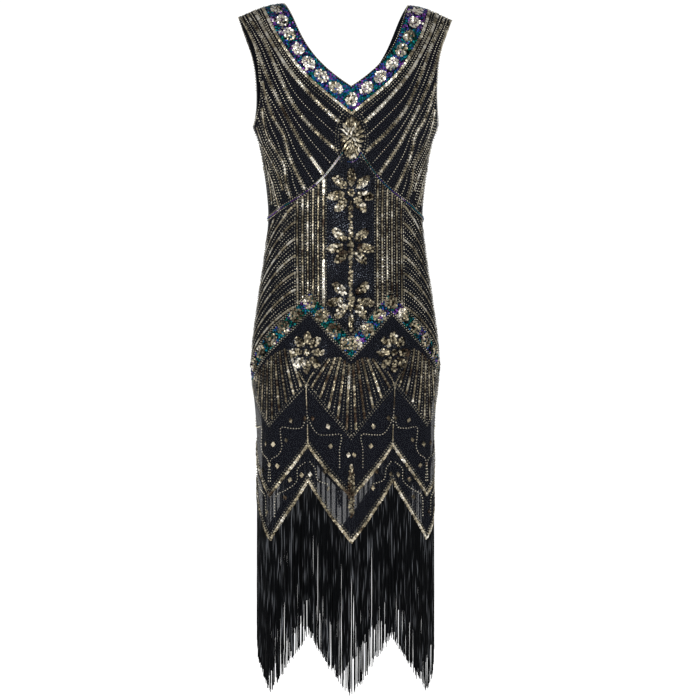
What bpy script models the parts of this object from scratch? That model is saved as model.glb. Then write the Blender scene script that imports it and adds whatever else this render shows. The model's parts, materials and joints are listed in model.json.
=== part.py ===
"""A sleeveless flapper dress: beaded net over a slip, zigzag hems and two tiers of fringe.

Metres, +Z up. The dress hangs as it is worn, hollow, with its front facing -Y and its two
halves alike about X = 0. The origin lies halfway between the shoulder seams, level with
their neck ends, where the wearer's shoulders carry the dress. A depth is a distance down
from there. An angle runs round the body from the centre line (0) to the side seam (pi / 2).
"""

import math
from collections import namedtuple

import bmesh
import bpy
from mathutils import Vector

# Neckline, shoulders and armholes
NECK_HALF_WIDTH = 0.103
V_DEPTH = 0.147
V_FULLNESS = (1.2, 1.6)    # how far and how late the neckline bows out from a straight V
SHOULDER_HALF_WIDTH = 0.1775
SHOULDER_DROP = 0.023
SHOULDER_CURVE = 1.6       # power of the shoulder seam's slope, 1 being straight
ARMHOLE_DEPTH = 0.206
SHOULDER_CROWN = (2.2, 0.5)  # powers of the round over the shoulder, from chest to seam

# Zigzag hems: six low tips round the dress, one at each centre line and two on each panel
# beside it, with a high valley halfway between two tips and at each side seam
TIP_ANGLE = math.radians(55.5)
SLIP_HEM_HIGH, SLIP_HEM_LOW = 0.727, 0.811
NET_HEM_HIGH, NET_HEM_LOW = 0.784, 0.883
HEM_CURVE = 0.95           # power of a zigzag's sides, 1 being straight
FRINGE_CURVE = 0.85        # the same for the fringes' ends, which hang a little fuller
FRINGE_LENGTH = 0.250

# Flutes: soft vertical troughs under the valleys of the hems
FLUTE_TOP_DEPTH = 0.589
FLUTE_FULL_DEPTH = 0.723
FLUTE_TROUGH = 0.008

# Cloth
NET_WALL = 0.001
SLIP_WALL = 0.001
FRINGE_WALL = 0.002
LAYER_GAP = 0.0008         # between the net and what hangs under it
SEAM_GAP = 0.0005          # between a front and a back panel
HEM_GAP = 0.0009           # between a hem and the fringe sewn to it

COLUMNS = 12               # faces from the centre line to the side seam
TIP_COLUMN = 8             # faces from the centre line to the tip beside it
NORMAL_STEP = 0.001

FRONT, BACK = -1, 1        # sign of Y

Section = namedtuple("Section", "depth half_width front back")
BODY = (
    # Sections of a general figure in a straight-cut dress
    Section(0.000, 0.204, 0.104, 0.100),
    Section(0.080, 0.200, 0.106, 0.102),
    Section(0.130, 0.190, 0.108, 0.103),
    Section(0.170, 0.174, 0.111, 0.103),
    Section(0.206, 0.1535, 0.115, 0.102),
    Section(0.235, 0.1425, 0.117, 0.099),
    Section(0.290, 0.1335, 0.108, 0.093),
    Section(0.350, 0.1285, 0.096, 0.089),
    Section(0.410, 0.1335, 0.095, 0.094),
    Section(0.490, 0.1450, 0.099, 0.106),
    Section(0.570, 0.1550, 0.103, 0.113),
    Section(0.640, 0.1555, 0.105, 0.113),
    Section(0.725, 0.1550, 0.107, 0.112),
    Section(0.890, 0.1540, 0.109, 0.111),
    Section(1.140, 0.1540, 0.110, 0.111),
)

Edge = namedtuple("Edge", "depth half_width")
ARMHOLE = (
    # Half width of the dress at the armhole's edge, shoulder tip to armpit
    Edge(SHOULDER_DROP, SHOULDER_HALF_WIDTH),
    Edge(0.045, 0.1680),
    Edge(0.070, 0.1575),
    Edge(0.100, 0.1490),
    Edge(0.130, 0.1450),
    Edge(0.160, 0.1450),
    Edge(0.185, 0.1485),
    Edge(ARMHOLE_DEPTH, 0.1535),
)

V_SHARE = 1 - V_DEPTH / ARMHOLE_DEPTH
BODICE_SHARES = (0.03, 0.09, 0.18, V_SHARE, 0.35, 0.46, 0.62, 0.78, 0.91, 0.98, 1.0)
BODY_DEPTHS = (ARMHOLE_DEPTH, 0.240, 0.290, 0.345, 0.410, 0.480, 0.535, 0.589)

Finish = namedtuple("Finish", "name colour roughness metallic")
NET = Finish("beaded_net", (0.055, 0.048, 0.036), 0.45, 0.3)
SLIP = Finish("slip_satin", (0.008, 0.009, 0.012), 0.55, 0.0)
FRINGE = Finish("fringe_rayon", (0.012, 0.012, 0.014), 0.40, 0.0)


def mix(start, end, share):
    return start + (end - start) * share


def smooth_column(table, depth, column):
    """Read a named column of a table at a depth, on a smooth curve through its rows."""
    depth = min(max(depth, table[0].depth), table[-1].depth)
    last = len(table) - 1
    low = max(i for i in range(last) if table[i].depth <= depth)
    rows = [table[min(max(low + i, 0), last)] for i in (-1, 0, 1, 2)]
    values = [getattr(row, column) for row in rows]
    depths = [row.depth for row in rows]
    span = depths[2] - depths[1]
    share = (depth - depths[1]) / span
    slope_in = (values[2] - values[0]) / (depths[2] - depths[0]) * span
    slope_out = (values[3] - values[1]) / (depths[3] - depths[1]) * span
    square, cube = share ** 2, share ** 3
    return ((2 * cube - 3 * square + 1) * values[1] + (cube - 2 * square + share) * slope_in
            + (3 * square - 2 * cube) * values[2] + (cube - square) * slope_out)


def tips_round(angle):
    """How many tips round from the centre line an angle lies: 0.5 and 1.5 are valleys."""
    inner = abs(angle) / TIP_ANGLE
    if inner <= 1:
        return inner
    return 1 + (abs(angle) - TIP_ANGLE) / (math.pi - 2 * TIP_ANGLE)


def flute_trough(angle, depth):
    """How far the cloth draws in at an angle: nothing at a tip, all of it at a valley."""
    reach = (depth - FLUTE_TOP_DEPTH) / (FLUTE_FULL_DEPTH - FLUTE_TOP_DEPTH)
    reach = min(max(reach, 0.0), 1.0)
    eased = reach * reach * (3 - 2 * reach)
    return FLUTE_TROUGH * eased * (1 - math.cos(2 * math.pi * tips_round(angle))) / 2


def seam_depth(angle):
    """Depth of the shoulder seam at an angle: level at the neck, then falling to the tip."""
    reach = BODY[0].half_width * math.sin(angle) - NECK_HALF_WIDTH
    share = max(reach, 0.0) / (SHOULDER_HALF_WIDTH - NECK_HALF_WIDTH)
    return SHOULDER_DROP * share ** SHOULDER_CURVE


def shoulder_round(angle, depth):
    """Share of the body's half depth left at a height: 1 at the armpit, 0 on the seam."""
    rise = (ARMHOLE_DEPTH - depth) / (ARMHOLE_DEPTH - seam_depth(angle))
    rise = min(max(rise, 0.0), 1.0)
    return (1 - rise ** SHOULDER_CROWN[0]) ** SHOULDER_CROWN[1]


def surface(side, angle, depth):
    """A point of the dress's outer surface."""
    trough = flute_trough(angle, depth)
    column = "front" if side == FRONT else "back"
    x = (smooth_column(BODY, depth, "half_width") - trough) * math.sin(angle)
    y = (smooth_column(BODY, depth, column) - trough) * math.cos(angle)
    return Vector((x, side * y * shoulder_round(angle, depth), -depth))


def outward(side, angle, depth):
    """The surface's outward direction, square to the seam where a panel meets its pair."""
    across = surface(side, angle + NORMAL_STEP, depth) - surface(side, angle - NORMAL_STEP, depth)
    down = surface(side, angle, depth + NORMAL_STEP) - surface(side, angle, depth - NORMAL_STEP)
    normal = across.cross(down) * side
    if abs(surface(side, angle, depth).y) < SEAM_GAP:
        normal.y = 0.0
    return normal.normalized()


def cloth_point(side, angle, depth, lift):
    """The surface's point moved outwards by lift, kept clear of the seam's plane."""
    point = surface(side, angle, depth) + outward(side, angle, depth) * lift
    point.y = side * max(abs(point.y), SEAM_GAP / 2)
    return point


def neckline_angle(depth):
    """Angle of the neckline's edge, 0 below the V."""
    fall = min(depth / V_DEPTH, 1.0)
    half_width = NECK_HALF_WIDTH * (1 - fall) * (1 + V_FULLNESS[0] * fall ** V_FULLNESS[1])
    return math.asin(half_width / smooth_column(BODY, depth, "half_width"))


def armhole_angle(depth):
    edge = smooth_column(ARMHOLE, depth, "half_width")
    return math.asin(min(edge / smooth_column(BODY, depth, "half_width"), 1.0))


def column_shares():
    """Shares of a row's width at which its columns stand, one of them on the tip's line."""
    tip_share = TIP_ANGLE / (math.pi / 2)
    inner = [tip_share * column / TIP_COLUMN for column in range(TIP_COLUMN)]
    outer = [mix(tip_share, 1.0, column / (COLUMNS - TIP_COLUMN))
             for column in range(COLUMNS - TIP_COLUMN + 1)]
    return inner + outer


def bodice_row(share):
    """Angles and depths across the bodice, from the armpit's level (0) to the shoulder (1)."""
    inner = neckline_angle(mix(ARMHOLE_DEPTH, 0.0, share))
    outer = armhole_angle(mix(ARMHOLE_DEPTH, SHOULDER_DROP, share))
    angles = [mix(inner, outer, s) for s in column_shares()]
    return [(angle, mix(ARMHOLE_DEPTH, seam_depth(angle), share)) for angle in angles]


def level_row(depth):
    return [(s * math.pi / 2, depth) for s in column_shares()]


def zigzag_row(high, low, curve=HEM_CURVE):
    """A hem that falls to a low tip and rises to a high valley by turns."""
    row = []
    for angle, _ in level_row(high):
        turn = tips_round(angle)
        from_tip = min(2 * abs(turn - round(turn)), 1.0)
        row.append((angle, mix(high, low, (1 - from_tip) ** curve)))
    return row


def rows_between(top, bottom, steps):
    """Rows that change evenly from one row to another, the first left out."""
    rows = []
    for step in range(1, steps + 1):
        share = step / steps
        rows.append([(angle, mix(start, end, share)) for (angle, start), (_, end)
                     in zip(top, bottom)])
    return rows


def body_rows():
    """Rows from the shoulder seam down to the hip, which the net and the slip share."""
    bodice = [bodice_row(share) for share in reversed(BODICE_SHARES)]
    return bodice + [level_row(depth) for depth in BODY_DEPTHS]


def slip_rows():
    rows = body_rows()
    return rows + rows_between(rows[-1], zigzag_row(SLIP_HEM_HIGH, SLIP_HEM_LOW), 2)


def net_rows():
    rows = slip_rows()
    return rows + rows_between(rows[-1], zigzag_row(NET_HEM_HIGH, NET_HEM_LOW), 1)


def fringe_rows(high, low):
    """Rows of a fringe, from just under its hem to its ends."""
    top = zigzag_row(high + HEM_GAP, low + HEM_GAP)
    ends = zigzag_row(high + FRINGE_LENGTH, low + FRINGE_LENGTH, FRINGE_CURVE)
    return [top] + rows_between(top, ends, 2)


def half_panel(name, side, rows, lift):
    """One half of a panel as an open surface, centre line to side seam, facing outwards."""
    shell = bmesh.new()
    grid = [[shell.verts.new(cloth_point(side, angle, depth, lift)) for angle, depth in row]
            for row in rows]
    for upper, lower in zip(grid, grid[1:]):
        for column in range(COLUMNS):
            corners = (upper[column], upper[column + 1], lower[column + 1], lower[column])
            shell.faces.new(corners if side == BACK else reversed(corners))
    mesh = bpy.data.meshes.new(name)
    shell.to_mesh(mesh)
    shell.free()
    mesh.shade_smooth()
    return mesh


def cloth_material(finish):
    material = bpy.data.materials.new(finish.name)
    material.use_nodes = True
    shader = material.node_tree.nodes["Principled BSDF"]
    shader.inputs["Base Color"].default_value = (*finish.colour, 1.0)
    shader.inputs["Roughness"].default_value = finish.roughness
    shader.inputs["Metallic"].default_value = finish.metallic
    return material


def cloth_piece(collection, name, side, rows, lift, wall, material):
    """A whole panel: its half mirrored at the centre line and given its wall, outwards."""
    mesh = half_panel(name, side, rows, lift)
    mesh.materials.append(material)
    piece = bpy.data.objects.new(name, mesh)
    collection.objects.link(piece)
    mirror = piece.modifiers.new("whole_width", "MIRROR")
    mirror.merge_threshold = 0.0001
    mirror.use_clip = True
    solid = piece.modifiers.new("wall", "SOLIDIFY")
    solid.thickness = wall
    solid.offset = 1.0
    return piece


def build_dress():
    collection = bpy.data.collections.new("flapper_dress")
    bpy.context.scene.collection.children.link(collection)
    net, slip, fringe = (cloth_material(finish) for finish in (NET, SLIP, FRINGE))
    upper = fringe_rows(SLIP_HEM_HIGH, SLIP_HEM_LOW)
    lower = fringe_rows(NET_HEM_HIGH, NET_HEM_LOW)
    net_inside = -NET_WALL
    under_net = net_inside - LAYER_GAP
    layers = (
        ("net", net_rows(), net_inside, NET_WALL, net),
        ("slip", slip_rows(), under_net - SLIP_WALL, SLIP_WALL, slip),
        ("fringe_upper", upper, under_net - FRINGE_WALL, FRINGE_WALL, fringe),
        ("fringe_lower", lower, net_inside, FRINGE_WALL, fringe),
    )
    for word, side in (("front", FRONT), ("back", BACK)):
        for name, rows, lift, wall, material in layers:
            cloth_piece(collection, f"{name}_{word}", side, rows, lift, wall, material)


def main():
    for item in list(bpy.data.objects):
        bpy.data.objects.remove(item)
    build_dress()


main()
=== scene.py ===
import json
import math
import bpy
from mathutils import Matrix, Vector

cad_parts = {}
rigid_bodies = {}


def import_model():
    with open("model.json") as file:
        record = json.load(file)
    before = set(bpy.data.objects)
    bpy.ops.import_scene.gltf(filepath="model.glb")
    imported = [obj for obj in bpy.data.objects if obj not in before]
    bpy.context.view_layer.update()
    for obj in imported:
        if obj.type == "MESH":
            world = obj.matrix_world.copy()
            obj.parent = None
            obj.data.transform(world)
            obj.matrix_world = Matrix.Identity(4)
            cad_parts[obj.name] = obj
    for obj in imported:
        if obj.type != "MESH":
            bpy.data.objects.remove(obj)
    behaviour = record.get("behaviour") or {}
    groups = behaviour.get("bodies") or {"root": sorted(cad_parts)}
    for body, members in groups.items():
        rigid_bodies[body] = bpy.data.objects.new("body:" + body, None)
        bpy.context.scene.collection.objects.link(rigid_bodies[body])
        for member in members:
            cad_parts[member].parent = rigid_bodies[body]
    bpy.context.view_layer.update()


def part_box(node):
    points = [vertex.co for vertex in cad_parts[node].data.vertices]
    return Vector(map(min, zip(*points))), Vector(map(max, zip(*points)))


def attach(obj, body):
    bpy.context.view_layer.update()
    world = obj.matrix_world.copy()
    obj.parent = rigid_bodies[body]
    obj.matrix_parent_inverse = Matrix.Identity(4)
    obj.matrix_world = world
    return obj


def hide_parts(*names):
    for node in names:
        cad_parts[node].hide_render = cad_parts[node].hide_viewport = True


bl_info = {
    "name": "Beaded Flapper Dress",
    "version": (1, 0, 0),
    "blender": (4, 5, 0),
    "location": "View3D > Sidebar > Dress",
    "description": "Net, slip, sequins, beads and fringe of a sleeveless flapper dress",
    "category": "Object",
}

from collections import namedtuple
from functools import partial

import bmesh
import bpy
import numpy as np
from bpy.props import FloatProperty, FloatVectorProperty, PointerProperty
from mathutils import Matrix, Vector

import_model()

# Every size is in metres. A depth is a distance down from the neck ends of the shoulder
# seams. An angle runs round the body from the centre line of the front or back panel.
FRONT, BACK = -1, 1
PANELS = (("front", FRONT), ("back", BACK))
NET_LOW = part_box("net_front")[0]
SLIP_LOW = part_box("slip_front")[0]

# The cut of the dress, the same as in its solids
NECK_HALF_WIDTH = 0.103
V_DEPTH = 0.147
V_FULLNESS = (1.2, 1.6)
SHOULDER_HALF_WIDTH = 0.1775
SHOULDER_DROP = 0.023
SHOULDER_CURVE = 1.6
ARMHOLE_DEPTH = 0.206
SHOULDER_CROWN = (2.2, 0.5)
SLIP_HEM_HIGH, SLIP_HEM_LOW = 0.727, -SLIP_LOW.z
NET_HEM_HIGH, NET_HEM_LOW = 0.784, -NET_LOW.z
HEM_CURVE = 0.95
TIP_ANGLE = math.radians(55.5)
FLUTE_TOP_DEPTH = 0.589
FLUTE_FULL_DEPTH = 0.723
FLUTE_TROUGH = 0.008
HEMS = ((SLIP_HEM_HIGH, SLIP_HEM_LOW), (NET_HEM_HIGH, NET_HEM_LOW))
SIDE_ANGLE = math.pi / 2
LAST_ANGLE = SIDE_ANGLE - 0.01   # where most sewn lines stop, beside the side seam
SEAM_CLEARANCE = 0.0001
NORMAL_STEP = 0.001
ARC_STEP = 0.01
PATCH_REACH = 0.05         # no patch reaches further down from its middle
SHOULDER_MARGIN = 0.0003   # depth from the shoulder seam down to the first sequins
ARC = 0.137                # mean radius of the hip, for turning an angle into a width

Section = namedtuple("Section", "depth half_width front back")
BODY = (
    Section(0.000, 0.204, 0.104, 0.100),
    Section(0.080, 0.200, 0.106, 0.102),
    Section(0.130, 0.190, 0.108, 0.103),
    Section(0.170, 0.174, 0.111, 0.103),
    Section(0.206, 0.1535, 0.115, 0.102),
    Section(0.235, 0.1425, 0.117, 0.099),
    Section(0.290, 0.1335, 0.108, 0.093),
    Section(0.350, 0.1285, 0.096, 0.089),
    Section(0.410, 0.1335, 0.095, 0.094),
    Section(0.490, 0.1450, 0.099, 0.106),
    Section(0.570, 0.1550, 0.103, 0.113),
    Section(0.640, 0.1555, 0.105, 0.113),
    Section(0.725, 0.1550, 0.107, 0.112),
    Section(0.890, 0.1540, 0.109, 0.111),
    Section(1.140, 0.1540, 0.110, 0.111),
)

Edge = namedtuple("Edge", "depth half_width")
ARMHOLE = (
    Edge(SHOULDER_DROP, SHOULDER_HALF_WIDTH),
    Edge(0.045, 0.1680),
    Edge(0.070, 0.1575),
    Edge(0.100, 0.1490),
    Edge(0.130, 0.1450),
    Edge(0.160, 0.1450),
    Edge(0.185, 0.1485),
    Edge(ARMHOLE_DEPTH, 0.1535),
)

# Points of half a panel: across it, then down its yoke, its waist and its skirt
GRID_COLUMNS, YOKE_ROWS, WAIST_ROWS, SKIRT_ROWS = 73, 30, 62, 44

# Layers, as lifts out from the net's outer face, which is 0
SLIP_LIFT = -0.0023
SLIP_HANG = 0.0085         # how much closer to the legs the slip's sides hang than the net's
SLIP_HANG_DEPTHS = (0.60, 0.70)
SLIP_HANG_ANGLES = (math.radians(48), math.radians(90))
UPPER_FRINGE_LIFT = -0.0007  # below the slip
LOWER_FRINGE_LIFT = -0.0002

# Soft folds: a ridge (or a trough, where the height is below 0) along a line on a panel
FOLD_START = 0.12          # how far into its swell a fold starts, out of 1
FOLD_FADE = 0.35           # angle over which the folds die out towards the side seams
Fold = namedtuple("Fold", "angle depth end_angle end_depth half_width height")
# Two short pleats of both panels, below the valleys between the fans
PLEATS = tuple(Fold(angle, 0.634, angle, 0.724, 0.003, 0.0013) for angle in (-27.7, 27.7))
FOLDS = {
    FRONT: (
        Fold(-52, 0.610, -57, 0.900, 0.011, 0.0026),
        Fold(-38, 0.640, -36, 0.860, 0.008, -0.0018),
        Fold(-14, 0.660, -11, 0.880, 0.010, 0.0022),
        Fold(9, 0.690, 13, 0.870, 0.007, -0.0016),
        Fold(24, 0.620, 21, 0.850, 0.009, 0.0020),
        Fold(47, 0.650, 44, 0.900, 0.010, -0.0020),
        Fold(66, 0.600, 63, 0.890, 0.010, 0.0028),
        Fold(-78, 0.372, -34, 0.345, 0.010, -0.0018),
        Fold(74, 0.338, 40, 0.356, 0.009, -0.0020),
        Fold(-70, 0.412, -46, 0.392, 0.008, 0.0012),
        Fold(62, 0.400, 36, 0.418, 0.010, 0.0013),
        Fold(-46, 0.214, -24, 0.268, 0.012, 0.0012),
        Fold(50, 0.205, 28, 0.262, 0.012, -0.0012),
    ) + PLEATS,
    BACK: (
        Fold(-60, 0.590, -55, 0.880, 0.011, 0.0028),
        Fold(-33, 0.630, -37, 0.900, 0.009, -0.0022),
        Fold(-9, 0.600, -4, 0.870, 0.010, 0.0024),
        Fold(18, 0.650, 16, 0.890, 0.008, -0.0018),
        Fold(39, 0.610, 43, 0.860, 0.011, 0.0024),
        Fold(64, 0.640, 69, 0.900, 0.009, -0.0020),
        Fold(-66, 0.352, -20, 0.372, 0.011, 0.0022),
        Fold(70, 0.366, 24, 0.348, 0.012, 0.0020),
        Fold(-54, 0.400, -12, 0.408, 0.009, -0.0016),
        Fold(48, 0.392, 10, 0.414, 0.010, -0.0018),
        Fold(-40, 0.180, -16, 0.260, 0.013, 0.0014),
        Fold(44, 0.196, 22, 0.250, 0.012, 0.0014),
    ) + PLEATS,
}

# Embroidery. (across, depth) points are half widths and depths on the panel.
NECK_BORDER = (
    Edge(0.000, 0.1425),
    Edge(0.060, 0.1185),
    Edge(0.112, 0.0865),
    Edge(0.140, 0.0620),
    Edge(0.162, 0.0375),
    Edge(0.193, 0.0000),
)
NECK_CLUSTER_PITCH = 0.0310
NECK_CLUSTER = (0.0085, 0.0118)
RAYS = (
    # Gold rays from the shoulder and the armhole down to the medallion and the bust seam
    ((0.1545, 0.013), (0.1500, 0.022), (0.1316, 0.062), (0.0987, 0.1197), (0.0507, 0.1775),
     (0.0210, 0.2064)),
    ((0.1655, 0.017), (0.1610, 0.026), (0.1381, 0.069), (0.1085, 0.1430), (0.0908, 0.1796),
     (0.0620, 0.2163), (0.0235, 0.2530)),
    ((0.1748, 0.0218), (0.1710, 0.032), (0.1492, 0.0846), (0.1356, 0.1242), (0.1184, 0.1637),
     (0.0986, 0.2032), (0.0770, 0.2428), (0.0460, 0.2880)),
    ((0.1405, 0.138), (0.1334, 0.1687), (0.1226, 0.1972), (0.1062, 0.2256), (0.0996, 0.2540),
     (0.0882, 0.2825), (0.0738, 0.3115)),
    ((0.1408, 0.1805), (0.1374, 0.2041), (0.1300, 0.2276), (0.1166, 0.2512), (0.1050, 0.2748),
     (0.1026, 0.2983), (0.0955, 0.3250)),
    ((0.1480, 0.2080), (0.1360, 0.2405), (0.1199, 0.2755), (0.1126, 0.2929), (0.1070, 0.3110)),
    ((0.1335, 0.2700), (0.1238, 0.2962), (0.1187, 0.3171), (0.1125, 0.3400)),
    ((0.1405, 0.2360), (0.1335, 0.2640), (0.1285, 0.2900), (0.1250, 0.3150), (0.1232, 0.3330)),
)
BESIDE = 0.0029            # from a sequin line to the beads sewn beside it
CROWDED = 0.0105           # no beads beside a line where the next line is closer than this
BETWEEN = 0.0056           # least distance from a ray to the beads halfway to the next one
NECK_BEADS = (0.03, 0.94)  # shares of the neck band's width
YOKE_BEADS = (1.14, 1.27)  # the same, for the rows below the band
YOKE_CLEAR = 0.0045        # least distance from those rows to a ray
ARMHOLE_INSET = 0.0018
END_GAP = 0.004            # from the end of a line to the seam or band it runs to
BUST_SEAM = ((0.0150, 0.2560), (0.0300, 0.2765), (0.0435, 0.2930), (0.0560, 0.3050),
             (0.0825, 0.3245), (0.1125, 0.3435), (0.1285, 0.3560))
MEDALLION_SEAM = ((-0.0060, 0.2700), (0.0020, 0.2700), (0.0100, 0.2640), (0.0140, 0.2560))
MEDALLION_DEPTH = 0.232
MEDALLION_SIZE = (0.0175, 0.0335)
MEDALLION_RINGS = ((0.87, 24), (0.66, 19), (0.44, 13), (0.20, 6))   # (reach, leaves)
MEDALLION_BEADS = (1.25, 1.5)   # sizes of the brackets of beads beside it, times its own
BRACKET_TURN, BRACKET_HEIGHT = 52, 0.95   # their reach up and down, in degrees and as a share
LEAF_STEP = 0.02           # length of the guide of one leaf, as a share of the medallion
STRIPE_FIRST, STRIPE_LAST, STRIPE_COUNT = 0.0435, 0.0845, 6
STRIPE_GAP = 0.006         # from the bust seam down to a stripe
STRIPE_END, PANEL_END = 0.50, 0.53   # about how deep the stripes and their panel end
BUST_BEADS = (-0.0030, 0.0030)
CHEVRON_START, CHEVRON_END = 0.0885, SIDE_ANGLE - 0.015   # a half width, then an angle
CHEVRON_TOP, CHEVRON_STEP, CHEVRON_COUNT = 0.3105, 0.0275, 9
CHEVRON_DROP, CHEVRON_CURVE = 0.092, 1.2
CHEVRON_GAPS = (0.008, 0.005)   # from the bust seam, and from the hip band
CHEVRON_BEADS = ((0.22, 58), (0.5, 90), (0.78, 58))   # (share of a step, last angle)
PANEL_FLOWERS = (0.3185, 0.4035, 0.4910)
Petals = namedtuple("Petals", "radius half_length half_width tall")
PANEL_PETALS = Petals(0.0250, 0.0138, 0.0062, 1.0)
PANEL_PETAL_TURNS = (0, 48, -48, 101, -101, 142, -142)   # degrees; the first is the top petal
STEM_HALF_WIDTHS = (0.0010, 0.0030)
STEM_LEAF = 0.036          # length of one leaf of the stem
STEM_TOP, STEM_BOTTOM = 0.012, 0.545   # below the first flower's middle, then a depth
HIP_BAND = ((0, 0.570), (26.5, 0.4945), (36, 0.5180), (46, 0.5400), (64, 0.5730), (90, 0.6220))
HIP_HALF_HEIGHT = 0.0140
HIP_BEADS = (-0.019, -0.0155, 0.0155, 0.0195)
HIP_CLUSTER_START, HIP_CLUSTER_PITCH = 0.0097, 0.0303
HIP_CLUSTER = (0.0104, 0.0108)
HIP_FLOWER = (math.radians(27.0), 0.577)
HIP_PETALS = Petals(0.0185, 0.0102, 0.0054, 1.25)
HIP_GROUND = (0.034, 0.030)   # half width and half height of the beads round a hip flower
FLOWER_CENTRE = 0.8        # its radius, in half widths of a petal

# The skirt's pattern, as (tips round from the centre line, depth)
Fan = namedtuple("Fan", "tips narrow top depth")
FANS = (Fan(-1, 0.31, 0.564, 0.6945), Fan(0, 0.22, 0.580, 0.7130), Fan(1, 0.31, 0.564, 0.6945))
FAN_VALLEY = 0.626
FAN_HALF_WIDTH, FAN_HEIGHT = 0.49, 0.09   # tips round, metres
FAN_GAP = 0.030            # from the hip band's centre line down to the fans
# Shares of its own length at which a fan's outermost line starts, and at which all end
FAN_ARCH, FAN_STOP = 0.2, 0.97
FAN_STRIPS = 10
FAN_BEADS = (0.0, -0.0040)
HEM_END = SIDE_ANGLE - 0.004
HEM_GOLD, HEM_BEADS = (0.0, 0.0018), (0.0050, 0.0095)
# The gold fork below a valley between two fans: (tips beside it, depth below it)
FORK = ((0.09, -0.017), (0.04, -0.006), (0.0, 0.006))
SCROLL_TOP, SCROLL_MEET, SCROLL_END = 0.668, 0.694, 0.696
TIP_ARC = TIP_ANGLE * ARC  # width of cloth from one tip to the next
SCROLLS = (
    ((0.490, 0.682), (0.441, 0.698), (0.366, 0.709), (0.238, 0.710), (0.119, 0.709),
     (0.126, 0.734), (0.126, 0.762)),
    ((0.531, 0.686), (0.568, 0.698), (0.703, 0.700), (0.838, 0.699), (0.840, 0.714),
     (0.829, 0.732), (0.883, 0.744), (0.955, 0.749), (0.985, 0.786)),
    ((0.476, 0.754), (0.413, 0.764), (0.377, 0.783), (0.258, 0.789)),
    ((0.539, 0.755), (0.630, 0.765), (0.640, 0.784), (0.777, 0.800), (0.895, 0.808),
     (0.930, 0.843)),
)
DIAMONDS = (
    (0.435, 0.683), (0.250, 0.696), (0.222, 0.728), (0.030, 0.742), (0.475, 0.774),
    (0.290, 0.769), (0.250, 0.796), (0.530, 0.683), (0.713, 0.687), (0.772, 0.719),
    (0.940, 0.726), (0.888, 0.761), (1.071, 0.725), (1.000, 0.759), (1.155, 0.769),
    (0.728, 0.783), (0.790, 0.812), (0.580, 0.775), (1.273, 0.819), (1.045, 0.837),
)
UPPER_FRINGE_GAPS = ((-1, 0.22), (0, 0.42), (1, 0.22))   # (tips round, half width)
SPARSE = (2, 7)            # strands are sewn on 2 of 7 steps of the hem in a gap
FRINGE_OVERLAP = 0.001     # from a hem's edge up to where its fringe is sewn
HEM_LEAF_DEPTHS = (0.757, 0.842)
HEM_LEAF_HALF_WIDTHS = (0.0012, 0.0042)
HEM_LEAF_SWELL = (0.1, 2.9)   # the part of a sine wave that shapes the leaf

# Painted highlights: stretches where extra gold sequins, painted paler and laid flat so the lamps
# also catch them, stand in for glints: from one point of a line to another
RAY_GLINTS = ((0, 52, 74, 1), (2, 71, 80, -1))   # (ray, first, last, hand)
STRIPE_GLINTS = ((0, 5), (25, 39))
FAN_GLINT = (-0.09, 4, 15)   # (share of the fan's width, first, last)
# Above this point the first ray's sequins are also painted paler: a painted highlight along its
# upper part.
RAY_SPLIT = 50             # the point of the first ray from which its sequins are smaller

# How the items lie: each is a little darker or lighter, by itself and by patches of cloth
DYE_RANGE = (-0.62, -0.18)
PATCH_SCALE, PATCH_STRENGTH = 40.0, 1.8
STRAND_POINTS = 12
OVAL_CORNERS = 12
STRAND_NOISE = {"Scale": 95.0, "Detail": 1.5}   # how neighbouring strands bunch
SWAY_NOISE = {"Scale": 11.0, "Detail": 1.0}     # how a single strand wanders
SWAY_APART = 40.0          # how far apart two strands read that noise
SWAY_GROWTH, SPREAD_GROWTH = 1.2, 1.5   # how sway and spacing grow down a strand
LENGTH_BIAS = 2.0          # the higher, the fewer of the strands are short

# Patterns of the materials, as repeats in a metre
TULLE_HOLES = 700.0        # holes 1.4 mm across; a fine real tulle has about 1 mm
SATIN_STREAKS = (900.0, 120.0, 1.0)   # 1.1 by 8 mm, far coarser than thread, so they show
TWIST_WAVES = 260.0        # one turn of the strand's twist every 2.4 mm
# Painted highlight: grey gleams painted along the fringe strands, with this grain and spread
PAINTED_GLEAM_GRAIN = 22.0         # grain of the gleams along a strand: 45 mm
PAINTED_GLEAM_APART = 900.0        # so that two strands gleam at different heights
FLOOR_CLOUDS = 3.0         # faint clouds 0.3 m across

# The cut of each cloth panel, flat
Cut = namedtuple("Cut", "name width length area")

# The studio
SoftBox = namedtuple("SoftBox", "name place aim_depth size share")
SOFT_BOXES = (
    # The share is of the key light's power
    SoftBox("key", (-1.06, -2.65, -0.10), 0.45, (0.22, 1.00), 1.0),
    SoftBox("fill", (0.90, -2.60, 0.55), 0.30, (0.30, 0.60), 0.5),
    SoftBox("top", (0.00, -1.70, 1.50), 0.15, (1.20, 0.60), 0.9),
    SoftBox("back", (0.70, 2.60, 0.40), 0.45, (0.40, 1.00), 0.9),
)
CAMERA_LENS = 111.5
CAMERA_HEIGHT = -0.573
CAMERA_AIM = 0.0075        # how far to the wearer's left the camera looks
FLOOR_HEIGHT, FLOOR_RADIUS = -1.30, 9.0

LOOSE = "loose_"           # names of helpers that are removed at the end start so
MATH, VECTOR_MATH, COMBINE = "ShaderNodeMath", "ShaderNodeVectorMath", "ShaderNodeCombineXYZ"
NOISE, RANDOM = "ShaderNodeTexNoise", "FunctionNodeRandomValue"
STORE, READ = "GeometryNodeStoreNamedAttribute", "GeometryNodeInputNamedAttribute"


def mix(start, end, share):
    return start + (end - start) * share


def hex_colour(code):
    """An sRGB hex code as linear RGBA."""
    channels = [int(code[i:i + 2], 16) / 255 for i in (0, 2, 4)]
    linear = [c / 12.92 if c <= 0.04045 else ((c + 0.055) / 1.055) ** 2.4 for c in channels]
    return (*linear, 1.0)


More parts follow.
